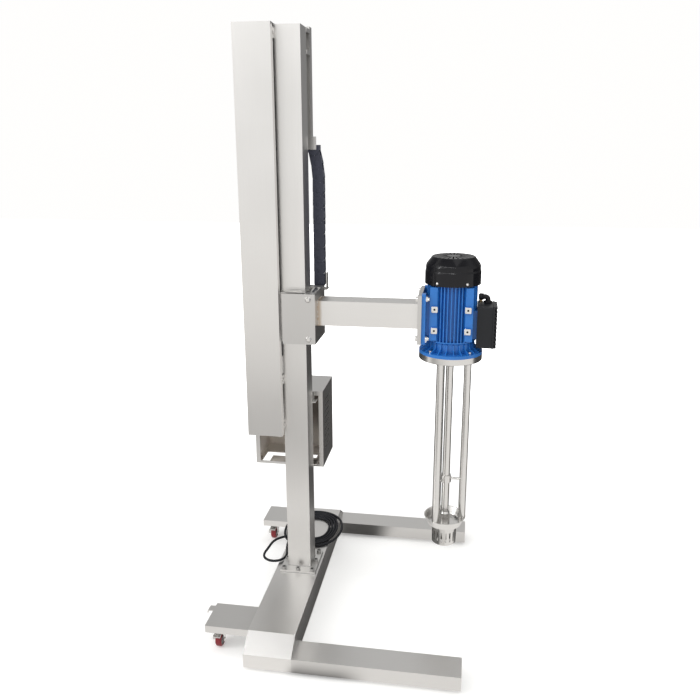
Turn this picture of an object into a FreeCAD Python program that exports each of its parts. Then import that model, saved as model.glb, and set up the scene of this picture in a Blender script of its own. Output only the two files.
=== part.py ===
"""High shear mixer on a lifting stand: a wheeled base, a square column with a screw lift
behind it, and a cantilever arm that carries a flanged motor and a rotor-stator head.

Every sub-part is drawn with the column's axis at x = 0, y = 0 and the floor at z = 0.  The
arm points along +X and the control box stands on the +Y side.  Each finished sub-part is
then moved along X, so that the frame's origin lies under the middle of the whole machine.
"""
import FreeCAD, Part
import math
import os
import re
import Sketcher
from FreeCAD import Placement, Rotation, Vector

doc = FreeCAD.newDocument("high_shear_mixer")
sheet = doc.addObject("Spreadsheet::Sheet", "sizes")

SIZES = (
    # base frame
    ("beam_rear", 80), ("beam_front", 70), ("beam_span", 928), ("beam_flat", 806),
    ("beam_top", 100), ("beam_wall", 3), ("foot_height", 12), ("foot_radius", 22),
    ("foot_inset", 42), ("leg_width", 90), ("leg_height", 46), ("leg_wall", 3),
    ("leg_reach", 577), ("outrigger_reach", 222), ("outrigger_width", 120),
    ("outrigger_outer", 399), ("outrigger_top", 96), ("outrigger_skirt", 24),
    ("outrigger_sheet", 3), ("tray_tab", 24),
    # swivel casters
    ("caster_inset", 34), ("wheel_radius", 25), ("wheel_width", 20), ("wheel_trail", 18),
    ("axle_radius", 4), ("stem_radius", 5), ("fork_plate", 3), ("fork_gap", 1.5),
    ("fork_crown", 70), ("stem_boss", 16), ("pedal_reach", 52), ("pedal_height", 57),
    ("pedal_sheet", 3),
    # column and its foot plate
    ("column_side", 80), ("column_wall", 3), ("column_top", 1883), ("plate_thick", 8),
    ("plate_length", 124), ("plate_width", 146), ("plate_pitch", 50), ("plate_edge", 11),
    ("bolt_radius", 5), ("bolt_head_radius", 8), ("bolt_head_height", 8),
    # cover behind the column
    ("cover_rear", 154), ("cover_width", 160), ("cover_sheet", 2), ("cover_bottom", 613),
    ("cover_top", 1886), ("slot_edge", 57), ("tab_inner", 25), ("tab_outer", 70),
    ("tab_height", 30), ("tab_low", 630), ("tab_middle", 785), ("tab_high", 1845),
    ("screw_offset", 48.5), ("screw_head", 5),
    # screw lift
    ("drive_offset", 100), ("shelf_top", 830), ("shelf_sheet", 8), ("shelf_width", 96),
    ("shelf_rise", 50), ("gearbox_side", 70), ("gearbox_height", 60),
    ("drive_motor_radius", 35), ("drive_motor_length", 100), ("spindle_radius", 10),
    ("spindle_bottom", 862), ("spindle_top", 1764), ("spigot_radius", 9),
    ("coupling_radius", 16), ("coupling_bottom", 842), ("coupling_top", 880),
    ("bearing_low", 886), ("bearing_high", 1736), ("bearing_height", 24),
    ("bearing_width", 70), ("running_gap", 0.05), ("nut_radius", 18),
    ("nut_flange_radius", 26), ("nut_flange_height", 8), ("nut_length", 30),
    # carriage
    ("carriage_bottom", 934), ("carriage_height", 162), ("housing_rear", 27),
    ("housing_front", 79), ("housing_width", 160), ("housing_wall", 4),
    ("frame_gap", 4), ("frame_plate", 10), ("frame_rear", 128), ("cross_height", 69),
    ("cross_plate", 12), ("cross_front", 72), ("back_bar", 10), ("back_bar_height", 16),
    ("roller_radius", 16.9), ("roller_clearance", 0.3), ("roller_inset", 17),
    ("roller_axle", 6), ("axle_head_radius", 10), ("axle_head_height", 6),
    ("pad_length", 60), ("pad_height", 40), ("pad_clearance", 0.3),
    # arm
    ("arm_side", 80), ("arm_wall", 3), ("arm_height", 1028), ("arm_end", 400),
    ("end_plate", 12), ("end_width", 172), ("end_height", 154), ("end_centre", 1026),
    ("foot_across", 140), ("foot_along", 125), ("foot_hole_height", 965),
    # motor
    ("motor_height", 909), ("shaft_height", 90), ("foot_plate", 12), ("foot_rail", 28),
    ("flange_radius", 100), ("flange_thick", 10), ("shield_radius", 70),
    ("shield_height", 47), ("core_radius", 66), ("fin_radius", 78), ("fin_thick", 3),
    ("fin_count", 44), ("core_top", 1131), ("rear_shield", 12), ("bore_radius", 50),
    ("rotor_gap", 0.5), ("rail_inner", 43), ("rail_outer", 66), ("rail_near", 48),
    ("rail_far", 69), ("boss_inner", 41), ("boss_outer", 61), ("boss_near", 60),
    ("boss_far", 77), ("boss_low", 993), ("boss_high", 1060), ("boss_height", 18),
    ("motor_shaft", 12), ("rib_count", 24), ("rib_radius", 96),
    ("flange_bolts", 82.5), ("cowl_radius", 86.5), ("cowl_step", 1.5),
    ("cowl_band", 41), ("cowl_shoulder", 59), ("cowl_height", 84), ("cowl_flat", 66),
    ("cowl_sheet", 2), ("grille_inner", 20), ("grille_outer", 63), ("grille_slot", 4.5),
    ("grille_count", 24), ("fan_radius", 68), ("fan_height", 28), ("fan_blades", 7),
    ("box_seat", 79), ("box_depth", 47), ("box_width", 100), ("box_height", 131),
    ("box_bottom", 935), ("lid_depth", 14), ("lid_rim", 2), ("lid_groove", 3),
    ("gland_radius", 9), ("gland_rise", 19), ("gland_reach", 30), ("gland_y", 22),
    # mixing head
    ("disc_thick", 20), ("rod_circle", 57), ("rod_radius", 12), ("shaft_radius", 12.5),
    ("seal_radius", 23.5), ("seal_height", 26), ("spider_height", 455),
    ("spider_length", 25), ("spider_radius", 17), ("spider_arm", 4),
    ("dish_bottom", 303), ("dish_top", 330), ("dish_rim", 70), ("dish_foot", 57),
    ("dish_wall", 4), ("hub_radius", 17), ("hub_top", 346), ("stator_bottom", 231),
    ("stator_radius", 41.5), ("stator_wall", 3.5), ("band_height", 13), ("band_radius", 43.5),
    ("slot_count", 18), ("slot_width", 5), ("slot_bottom", 247), ("slot_height", 34),
    ("inlet_radius", 24), ("head_gap", 0.6), ("blade_count", 4), ("blade_thick", 5),
    ("blade_bottom", 240), ("blade_height", 44), ("rotor_hub", 18), ("shaft_end", 258),
    # cable duct and drag chain
    ("lane_near", 84), ("duct_left", 5), ("duct_width", 36), ("duct_depth", 30),
    ("duct_bottom", 1544), ("duct_top", 1891), ("duct_sheet", 2), ("chain_width", 32),
    ("chain_height", 36), ("chain_pitch", 43), ("chain_links", 10), ("chain_x", 60),
    ("chain_gap", 0.3), ("chain_wall", 3), ("chain_lean", 12), ("shelf_plate", 4),
    ("shelf_length", 74), ("shelf_left", 12), ("post_height", 52),
    # control box
    ("case_left", 179), ("case_right", 67), ("case_near", 82), ("case_far", 262),
    ("case_bottom", 439), ("case_top", 721), ("case_sheet", 2), ("case_lip", 15), ("floor_lip", 9),
    ("louvre_length", 84), ("louvre_height", 6), ("louvre_pitch", 22),
    ("louvre_count", 9), ("louvre_low", 496), ("strap_height", 24), ("strap_sheet", 3),
    ("strap_left", 38), ("strap_right", 50), ("cut_left", 163), ("cut_width", 190),
    ("stop_radius", 20), ("stop_travel", 4), ("stop_stem", 10), ("knob_radius", 16),
    ("knob_stem", 5), ("switch_radius", 15), ("switch_stem", 8), ("control_x", 40),
    ("control_high", 660), ("control_pitch", 60),
    # power cord
    ("cord_radius", 4.5), ("coil_height", 19), ("coil_outer", 115), ("coil_inner", 62),
    ("coil_straight", 55), ("coil_x", -7), ("coil_y", 228), ("cord_gland_x", 25),
    ("cord_gland_height", 128), ("plug_radius", 17), ("plug_length", 42), ("plug_x", -50),
    ("plug_y", 116), ("pin_length", 18),
)

for row, (alias, number) in enumerate(SIZES, start=1):
    sheet.set("A%d" % row, str(number))
    sheet.setAlias("A%d" % row, alias)
doc.recompute()


def value(text):
    """Number that an expression in the sheet's sizes gives."""
    result = sheet.evalExpression(str(text))
    return float(getattr(result, "Value", result))


def bound(text):
    """The same expression, written for an object outside the sheet."""
    return re.sub(r"\b([a-z]+(?:_[a-z]+)+)\b", r"sizes.\1", str(text))


# ---- drawing helpers -------------------------------------------------------------------
NORMAL_SIGN = {"XY_Plane": 1, "YZ_Plane": 1, "XZ_Plane": -1}


def new_body(label):
    body = doc.addObject("PartDesign::Body", label)
    body.Label = label
    return body


def sketch_at(body, plane, name, level):
    """Sketch on one of the body's own planes, moved to the given level."""
    sketch = body.newObject("Sketcher::SketchObject", name)
    support = [f for f in body.Origin.OriginFeatures if f.Role == plane][0]
    sketch.AttachmentSupport = (support, [""])
    sketch.MapMode = "FlatFace"
    sign = "" if NORMAL_SIGN[plane] > 0 else "-1 * "
    sketch.setExpression(".AttachmentOffset.Base.z", bound("%s(%s)" % (sign, level)))
    return sketch


def pin_point(sketch, geometry, corner, along, up):
    """Ties one sketch point to two expressions."""
    for kind, text in (("DistanceX", along), ("DistanceY", up)):
        tie = Sketcher.Constraint(kind, -1, 1, geometry, corner, value(text))
        index = sketch.addConstraint(tie)
        sketch.setExpression("Constraints[%d]" % index, bound(text))


def polygon(sketch, corners):
    """Closed outline whose corners are pairs of expressions."""
    spots = [Vector(value(a), value(b), 0) for a, b in corners]
    first = sketch.GeometryCount
    count = len(spots)
    for i in range(count):
        sketch.addGeometry(Part.LineSegment(spots[i], spots[(i + 1) % count]), False)
    for i in range(count):
        following = first + (i + 1) % count
        sketch.addConstraint(Sketcher.Constraint("Coincident", first + i, 2, following, 1))
    for i, (along, up) in enumerate(corners):
        pin_point(sketch, first + i, 1, along, up)


def rectangle(sketch, left, right, low, high):
    polygon(sketch, ((left, low), (right, low), (right, high), (left, high)))


def circle(sketch, radius, along="0", up="0"):
    centre = Vector(value(along), value(up), 0)
    ring = sketch.addGeometry(Part.Circle(centre, Vector(0, 0, 1), value(radius)), False)
    index = sketch.addConstraint(Sketcher.Constraint("Radius", ring, value(radius)))
    sketch.setExpression("Constraints[%d]" % index, bound(radius))
    pin_point(sketch, ring, 3, along, up)


def pad(body, plane, name, low, high, draw):
    """Adds material between two levels along the plane's own axis."""
    start = low if NORMAL_SIGN[plane] > 0 else high
    sketch = sketch_at(body, plane, name + "_outline", start)
    draw(sketch)
    feature = body.newObject("PartDesign::Pad", name)
    feature.Profile = sketch
    feature.setExpression("Length", bound("(%s) - (%s)" % (high, low)))
    doc.recompute()
    return feature


def pocket(body, plane, name, low, high, draw):
    """Takes material away between two levels along the plane's own axis."""
    before = body.Shape.Volume
    start = high if NORMAL_SIGN[plane] > 0 else low
    sketch = sketch_at(body, plane, name + "_outline", start)
    draw(sketch)
    feature = body.newObject("PartDesign::Pocket", name)
    feature.Profile = sketch
    feature.setExpression("Length", bound("(%s) - (%s)" % (high, low)))
    doc.recompute()
    if body.Shape.Volume >= before:
        raise RuntimeError("pocket %s cut nothing" % name)
    return feature


def revolve(body, name, corners):
    """Turns an outline of (radius, height) corners once round the body's Z axis."""
    sketch = sketch_at(body, "XZ_Plane", name + "_outline", "0")
    polygon(sketch, corners)
    feature = body.newObject("PartDesign::Revolution", name)
    feature.Profile = sketch
    feature.ReferenceAxis = (sketch, ["V_Axis"])
    feature.Angle = 360
    doc.recompute()
    return feature


def around(body, name, original, count):
    """Repeats a feature evenly round the body's Z axis."""
    axis = [f for f in body.Origin.OriginFeatures if f.Role == "Z_Axis"][0]
    pattern = body.newObject("PartDesign::PolarPattern", name)
    pattern.Originals = [original]
    pattern.Axis = (axis, [""])
    pattern.Angle = 360
    pattern.setExpression("Occurrences", bound(count))
    body.Tip = pattern
    doc.recompute()
    return pattern


def along_axis(body, name, original, role, length, count):
    """Repeats a feature evenly along one of the body's axes."""
    axis = [f for f in body.Origin.OriginFeatures if f.Role == role][0]
    pattern = body.newObject("PartDesign::LinearPattern", name)
    pattern.Originals = [original]
    pattern.Direction = (axis, [""])
    pattern.setExpression("Length", bound(length))
    pattern.setExpression("Occurrences", bound(count))
    body.Tip = pattern
    doc.recompute()
    return pattern


def set_place(item, x="0", y="0", z="0"):
    for axis, text in (("x", x), ("y", y), ("z", z)):
        item.setExpression(".Placement.Base." + axis, bound(text))


def box(name, x, y, z):
    """Block between pairs of expressions."""
    item = doc.addObject("Part::Box", name)
    for prop, (low, high) in (("Length", x), ("Width", y), ("Height", z)):
        item.setExpression(prop, bound("(%s) - (%s)" % (high, low)))
    set_place(item, x[0], y[0], z[0])
    return item


TURN = {
    "x": Rotation(Vector(0, 1, 0), 90),
    "y": Rotation(Vector(1, 0, 0), -90),
    "z": Rotation(),
}


def rod(name, axis, radius, centre, low, high):
    """Cylinder along an axis; centre holds the other two coordinates in XYZ order."""
    item = doc.addObject("Part::Cylinder", name)
    item.setExpression("Radius", bound(radius))
    item.setExpression("Height", bound("(%s) - (%s)" % (high, low)))
    item.Placement = Placement(Vector(), TURN[axis])
    spot = list(centre)
    spot.insert("xyz".index(axis), low)
    set_place(item, *spot)
    return item


def fuse(name, items):
    item = doc.addObject("Part::MultiFuse", name)
    item.Shapes = items
    item.Refine = True
    return item


def cut(name, base, tool):
    item = doc.addObject("Part::Cut", name)
    item.Base = base
    item.Tool = tool
    return item


def group(name, items):
    """Separate solids that share one node."""
    item = doc.addObject("Part::Compound", name)
    item.Links = items
    return item


def solid_feature(name, shape):
    item = doc.addObject("Part::Feature", name)
    item.Shape = shape
    return item


# ---- shared places ---------------------------------------------------------------------
HALF_COLUMN = "column_side / 2"
MOTOR_X = "arm_end + end_plate + shaft_height"
CARRIAGE_TOP = "carriage_bottom + carriage_height"
ROLLER_X = "column_side / 2 + roller_clearance + roller_radius"
ROLLER_LOW = "carriage_bottom + roller_inset"
ROLLER_HIGH = "carriage_bottom + carriage_height - roller_inset"
PLATE_IN = "column_side / 2 + frame_gap"
PLATE_OUT = "column_side / 2 + frame_gap + frame_plate"
COLUMN_FOOT = "beam_top + plate_thick"
LEG_TOP = "foot_height + leg_height"
CASTER_X = "-1 * (outrigger_reach - caster_inset)"
CASTER_Y = "outrigger_outer - outrigger_width / 2"
DISC_BOTTOM = "motor_height - disc_thick"
COWL_TOP = "core_top + cowl_height"
CROSS_LEVEL = "carriage_bottom + cross_height"
LEFT_EDGE = "outrigger_reach + tray_tab"
RIGHT_EDGE = "arm_end + end_plate + shaft_height + box_seat + box_depth + lid_depth"
middle_x = (value(RIGHT_EDGE) - value(LEFT_EDGE)) / 2
parts = {}


def keep(label, item, x="0", y="0", z="0"):
    """Names a sub-part and moves it from the column's frame to the machine's frame."""
    item.Label = label
    shift = Vector(value(x) - middle_x, value(y), value(z))
    item.Placement = Placement(shift.add(item.Placement.Base), item.Placement.Rotation)
    parts[label] = item


# ---- base ------------------------------------------------------------------------------
def beam_outline(sketch, inset):
    """Beam seen along X: level top with a fall towards each end."""
    end = "beam_span / 2 - %s" % inset
    flat = "beam_flat / 2 - %s / 2" % inset
    low = "foot_height + %s" % inset
    shoulder = "%s - %s / 2" % (LEG_TOP, inset)
    top = "beam_top - %s" % inset
    polygon(sketch, (
        ("-1 * (%s)" % end, low), (end, low), (end, shoulder), (flat, top),
        ("-1 * (%s)" % flat, top), ("-1 * (%s)" % end, shoulder),
    ))


def plate_bolt_spots():
    """Eight bolts: three along each long edge and one in the middle of each short edge."""
    edge_y = "plate_width / 2 - plate_edge"
    edge_x = "plate_length / 2 - plate_edge"
    spots = []
    for across in ("-1 * (%s)" % edge_y, edge_y):
        for along in ("-1 * plate_pitch", "0", "plate_pitch"):
            spots.append((along, across))
    spots.append(("-1 * (%s)" % edge_x, "0"))
    spots.append((edge_x, "0"))
    return spots


def make_crossbeam():
    body = new_body("crossbeam")
    rear, front = "-1 * beam_rear", "beam_front"

    def shell(sketch):
        beam_outline(sketch, "0")
        beam_outline(sketch, "beam_wall")

    pad(body, "YZ_Plane", "beam_shell", rear, front, shell)
    pad(body, "YZ_Plane", "beam_back", rear, rear + " + beam_wall",
        lambda sketch: beam_outline(sketch, "0"))
    pad(body, "YZ_Plane", "beam_face", front + " - beam_wall", front,
        lambda sketch: beam_outline(sketch, "0"))

    def holes(sketch):
        for along, across in plate_bolt_spots():
            circle(sketch, "bolt_radius", along, across)

    pocket(body, "XY_Plane", "beam_holes", "beam_top - beam_wall", "beam_top", holes)
    keep("crossbeam", body)


def make_leg(label, side):
    body = new_body(label)
    near = "%d * (beam_span / 2)" % side
    far = "%d * (beam_span / 2 - leg_width)" % side
    near_in = "%d * (beam_span / 2 - leg_wall)" % side
    far_in = "%d * (beam_span / 2 - leg_width + leg_wall)" % side

    def tube(sketch):
        rectangle(sketch, near, far, "foot_height", LEG_TOP)
        rectangle(sketch, near_in, far_in, "foot_height + leg_wall", LEG_TOP + " - leg_wall")

    pad(body, "YZ_Plane", label + "_tube", "beam_front", "leg_reach", tube)
    pad(body, "YZ_Plane", label + "_end", "leg_reach - leg_wall", "leg_reach",
        lambda sketch: rectangle(sketch, near, far, "foot_height", LEG_TOP))
    keep(label, body)


def make_outrigger(label, side):
    """Folded tray: a flat top with a skirt on three sides and, below, a caster's boss."""
    body = new_body(label)
    low = "outrigger_top - outrigger_skirt"
    outer = "%d * outrigger_outer" % side
    inner = "%d * (outrigger_outer - outrigger_width)" % side
    outer_in = "%d * (outrigger_outer - outrigger_sheet)" % side
    inner_in = "%d * (outrigger_outer - outrigger_width + outrigger_sheet)" % side
    under = "outrigger_top - outrigger_sheet"
    pad(body, "YZ_Plane", label + "_fold", "-1 * outrigger_reach", "-1 * beam_rear",
        lambda sketch: polygon(sketch, (
            (outer, low), (outer, "outrigger_top"), (inner, "outrigger_top"), (inner, low),
            (inner_in, low), (inner_in, under), (outer_in, under), (outer_in, low),
        )))
    pad(body, "YZ_Plane", label + "_end", "-1 * outrigger_reach",
        "outrigger_sheet - outrigger_reach",
        lambda sketch: rectangle(sketch, outer, inner, low, "outrigger_top"))
    centre_y = "%d * (%s)" % (side, CASTER_Y)

    def boss(sketch):
        circle(sketch, "stem_radius + 7", CASTER_X, centre_y)
        circle(sketch, "stem_radius + running_gap", CASTER_X, centre_y)

    pad(body, "XY_Plane", label + "_boss", under + " - stem_boss", under, boss)
    round_edges(body, label + "_bends", 2.5, lambda edge: (
        upright(edge) and abs(edge.CenterOfMass.x + value("outrigger_reach")) < 0.01))
    if side < 0:
        pad(body, "XZ_Plane", "tray_tab_fold", inner + " - 30", inner + " - 4",
            lambda sketch: polygon(sketch, (
                ("-1 * outrigger_reach", "outrigger_top - 8"),
                ("-1 * outrigger_reach - tray_tab + 4", "outrigger_top - 8"),
                ("-1 * outrigger_reach - tray_tab", "outrigger_top - 12"),
                ("-1 * outrigger_reach - tray_tab", "outrigger_top - 20"),
                ("-1 * outrigger_reach - tray_tab + 3", "outrigger_top - 20"),
                ("-1 * outrigger_reach - tray_tab + 4", "outrigger_top - 11"),
                ("-1 * outrigger_reach", "outrigger_top - 11"),
            )))
    keep(label, body)


def upright(edge):
    """True for a straight edge along Z."""
    ends = [vertex.Point for vertex in edge.Vertexes]
    if len(ends) != 2:
        return False
    return abs(ends[0].x - ends[1].x) < 1e-6 and abs(ends[0].y - ends[1].y) < 1e-6


def edges_where(shape, test):
    names = []
    for index, edge in enumerate(shape.Edges, start=1):
        if test(edge):
            names.append("Edge%d" % index)
    return names


def make_floor_feet():
    feet = []
    front_x = "leg_reach - foot_inset"
    spot_y = "(beam_span - leg_width) / 2"
    for number, (along, side) in enumerate((
            (front_x, -1), (front_x, 1), ("0", -1), ("0", 1)), start=1):
        foot = doc.addObject("Part::Cone", "floor_foot_%d" % number)
        foot.setExpression("Radius1", bound("foot_radius"))
        foot.setExpression("Radius2", bound("foot_radius - 3"))
        foot.setExpression("Height", bound("foot_height"))
        set_place(foot, along, "%d * %s" % (side, spot_y))
        feet.append(foot)
    keep("floor_feet", group("floor_feet", feet))


def make_base_plate():
    body = new_body("column_base_plate")
    pad(body, "XY_Plane", "base_plate_slab", "beam_top", COLUMN_FOOT,
        lambda sketch: rectangle(sketch, "-1 * plate_length / 2", "plate_length / 2",
                                 "-1 * plate_width / 2", "plate_width / 2"))

    def holes(sketch):
        for along, across in plate_bolt_spots():
            circle(sketch, "bolt_radius", along, across)

    pocket(body, "XY_Plane", "base_plate_holes", "beam_top", COLUMN_FOOT, holes)
    keep("column_base_plate", body)

    bolts = []
    for number, (along, across) in enumerate(plate_bolt_spots(), start=1):
        shank = rod("bolt_shank_%d" % number, "z", "bolt_radius", (along, across),
                    "beam_top - beam_wall", COLUMN_FOOT)
        head = rod("bolt_head_%d" % number, "z", "bolt_head_radius", (along, across),
                   COLUMN_FOOT, COLUMN_FOOT + " + bolt_head_height")
        socket = rod("bolt_socket_%d" % number, "z", "bolt_radius * 0.6", (along, across),
                     COLUMN_FOOT + " + bolt_head_height / 2",
                     COLUMN_FOOT + " + bolt_head_height")
        whole = fuse("bolt_blank_%d" % number, [shank, head])
        bolts.append(cut("bolt_%d" % number, whole, socket))
    keep("base_plate_bolts", group("base_plate_bolts", bolts))


def make_column():
    body = new_body("column")
    half, inner = HALF_COLUMN, "column_side / 2 - column_wall"

    def tube(sketch):
        rectangle(sketch, "-1 * " + half, half, "-1 * " + half, half)
        rectangle(sketch, "-1 * (%s)" % inner, inner, "-1 * (%s)" % inner, inner)

    pad(body, "XY_Plane", "column_tube", COLUMN_FOOT, "column_top", tube)
    pad(body, "XY_Plane", "column_lid", "column_top - column_wall", "column_top",
        lambda sketch: rectangle(sketch, "-1 * " + half, half, "-1 * " + half, half))
    keep("column", body)


# ---- casters ---------------------------------------------------------------------------
def make_caster(prefix, side):
    """Fork with stem and axle, wheel and brake pedal; the wheel trails towards -Y."""
    centre_y = "%d * (%s)" % (side, CASTER_Y)
    axle_y = centre_y + " - wheel_trail"
    gap = "wheel_width / 2 + fork_gap"
    outer = "wheel_width / 2 + fork_gap + fork_plate"
    under = "outrigger_top - outrigger_sheet"
    pieces = []
    for name, sign in (("left", -1), ("right", 1)):
        body = new_body("%s_fork_cheek_%s" % (prefix, name))
        inside = "%s + %d * (%s)" % (CASTER_X, sign, gap)
        outside = "%s + %d * (%s)" % (CASTER_X, sign, outer)
        low, high = (inside, outside) if sign > 0 else (outside, inside)
        pad(body, "YZ_Plane", "%s_cheek_%s" % (prefix, name), low, high,
            lambda sketch: polygon(sketch, (
                (axle_y + " - 8", "wheel_radius - 5"), (axle_y, "wheel_radius - 9"),
                (axle_y + " + 8", "wheel_radius - 5"), (centre_y + " + 20", "fork_crown"),
                (centre_y + " - 20", "fork_crown"), (axle_y + " - 9", "fork_crown - 26"),
            )))
        pieces.append(body)
    pieces.append(rod(prefix + "_crown", "z", "22", (CASTER_X, centre_y),
                      "fork_crown - fork_plate", "fork_crown"))
    pieces.append(rod(prefix + "_race", "z", "19", (CASTER_X, centre_y),
                      "fork_crown", under + " - stem_boss - 0.3"))
    pieces.append(rod(prefix + "_stem", "z", "stem_radius", (CASTER_X, centre_y),
                      "fork_crown", under + " - 0.5"))
    pieces.append(rod(prefix + "_axle", "x", "axle_radius", (axle_y, "wheel_radius"),
                      "%s - (%s) - 3" % (CASTER_X, outer), "%s + %s + 3" % (CASTER_X, outer)))
    pieces.append(rod(prefix + "_axle_nut", "x", "axle_radius + 3.5",
                      (axle_y, "wheel_radius"), "%s - (%s) - 9" % (CASTER_X, outer),
                      "%s - (%s)" % (CASTER_X, outer)))
    keep(prefix + "_caster_fork", fuse(prefix + "_fork", pieces))

    wheel = new_body(prefix + "_caster_wheel")
    rim, bore = "wheel_radius", "axle_radius + running_gap"
    half = "wheel_width / 2"
    revolve(wheel, prefix + "_tyre", (
        (bore, "-1 * " + half), ("wheel_radius * 0.42", "-1 * " + half),
        ("wheel_radius * 0.5", "3 - " + half), ("wheel_radius * 0.7", "3 - " + half),
        ("wheel_radius * 0.76", "-1 * " + half), (rim + " - 3", "-1 * " + half),
        (rim, "3 - " + half), (rim, half + " - 3"), (rim + " - 3", half),
        ("wheel_radius * 0.76", half), ("wheel_radius * 0.7", half + " - 3"),
        ("wheel_radius * 0.5", half + " - 3"), ("wheel_radius * 0.42", half), (bore, half),
    ))
    wheel.Placement = Placement(Vector(), TURN["x"])
    keep(prefix + "_caster_wheel", wheel, CASTER_X, axle_y, "wheel_radius")

    pedal = new_body(prefix + "_brake_pedal")
    tip = centre_y + " - pedal_reach"
    pad(pedal, "YZ_Plane", prefix + "_pedal_arm", CASTER_X + " - 11", CASTER_X + " + 11",
        lambda sketch: polygon(sketch, (
            (centre_y + " - 6", "pedal_height"), (centre_y + " - 24", "pedal_height"),
            (tip, "pedal_height - 8"), (tip, "pedal_height - 8 + pedal_sheet"),
            (centre_y + " - 24", "pedal_height + pedal_sheet"),
            (centre_y + " - 6", "pedal_height + pedal_sheet"),
        )))
    pin = rod(prefix + "_pedal_pin", "x", "2.5", (centre_y + " - 9", "pedal_height + 1.5"),
              "%s - (%s) + 0.1" % (CASTER_X, gap), "%s + %s - 0.1" % (CASTER_X, gap))
    keep(prefix + "_brake_pedal", fuse(prefix + "_pedal", [pedal, pin]))


# ---- cover and screw lift --------------------------------------------------------------
def make_rear_cover():
    """Tall channel, open towards the column between two lips, with tabs that reach it."""
    body = new_body("rear_cover")
    face = "2 - " + HALF_COLUMN
    back = "-1 * " + HALF_COLUMN
    rear, rear_in = "-1 * cover_rear", "cover_sheet - cover_rear"
    side, side_in = "cover_width / 2", "cover_width / 2 - cover_sheet"
    pad(body, "XY_Plane", "cover_channel", "cover_bottom", "cover_top",
        lambda sketch: polygon(sketch, (
            (rear, "-1 * " + side), (face, "-1 * " + side), (face, "-1 * slot_edge"),
            (back, "-1 * slot_edge"), (back, "-1 * (%s)" % side_in),
            (rear_in, "-1 * (%s)" % side_in), (rear_in, side_in), (back, side_in),
            (back, "slot_edge"), (face, "slot_edge"), (face, side), (rear, side),
        )))
    pad(body, "XY_Plane", "cover_roof", "cover_top - cover_sheet", "cover_top",
        lambda sketch: polygon(sketch, (
            (rear, "-1 * " + side), (face, "-1 * " + side), (face, "-1 * slot_edge"),
            (back, "-1 * slot_edge"), (back, "slot_edge"), (face, "slot_edge"),
            (face, side), (rear, side),
        )))
    for level in ("tab_low", "tab_middle", "tab_high"):
        for name, sign in (("right", -1), ("left", 1)):
            pad(body, "XY_Plane", "cover_%s_%s" % (level, name), level,
                level + " + tab_height",
                lambda sketch: rectangle(sketch, back + " - cover_sheet", back,
                                         "%d * tab_inner" % sign, "%d * tab_outer" % sign))
    keep("rear_cover", body)

    screws = []
    for level in ("tab_low", "tab_middle", "tab_high"):
        for name, sign in (("right", -1), ("left", 1)):
            spot = ("%d * screw_offset" % sign, level + " + tab_height / 2")
            tag = "cover_screw_%s_%s" % (level, name)
            head = rod(tag + "_head", "x", "screw_head", spot, back, back + " + 3")
            screws.append(head)
    keep("cover_screws", group("cover_screws", screws))


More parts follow.
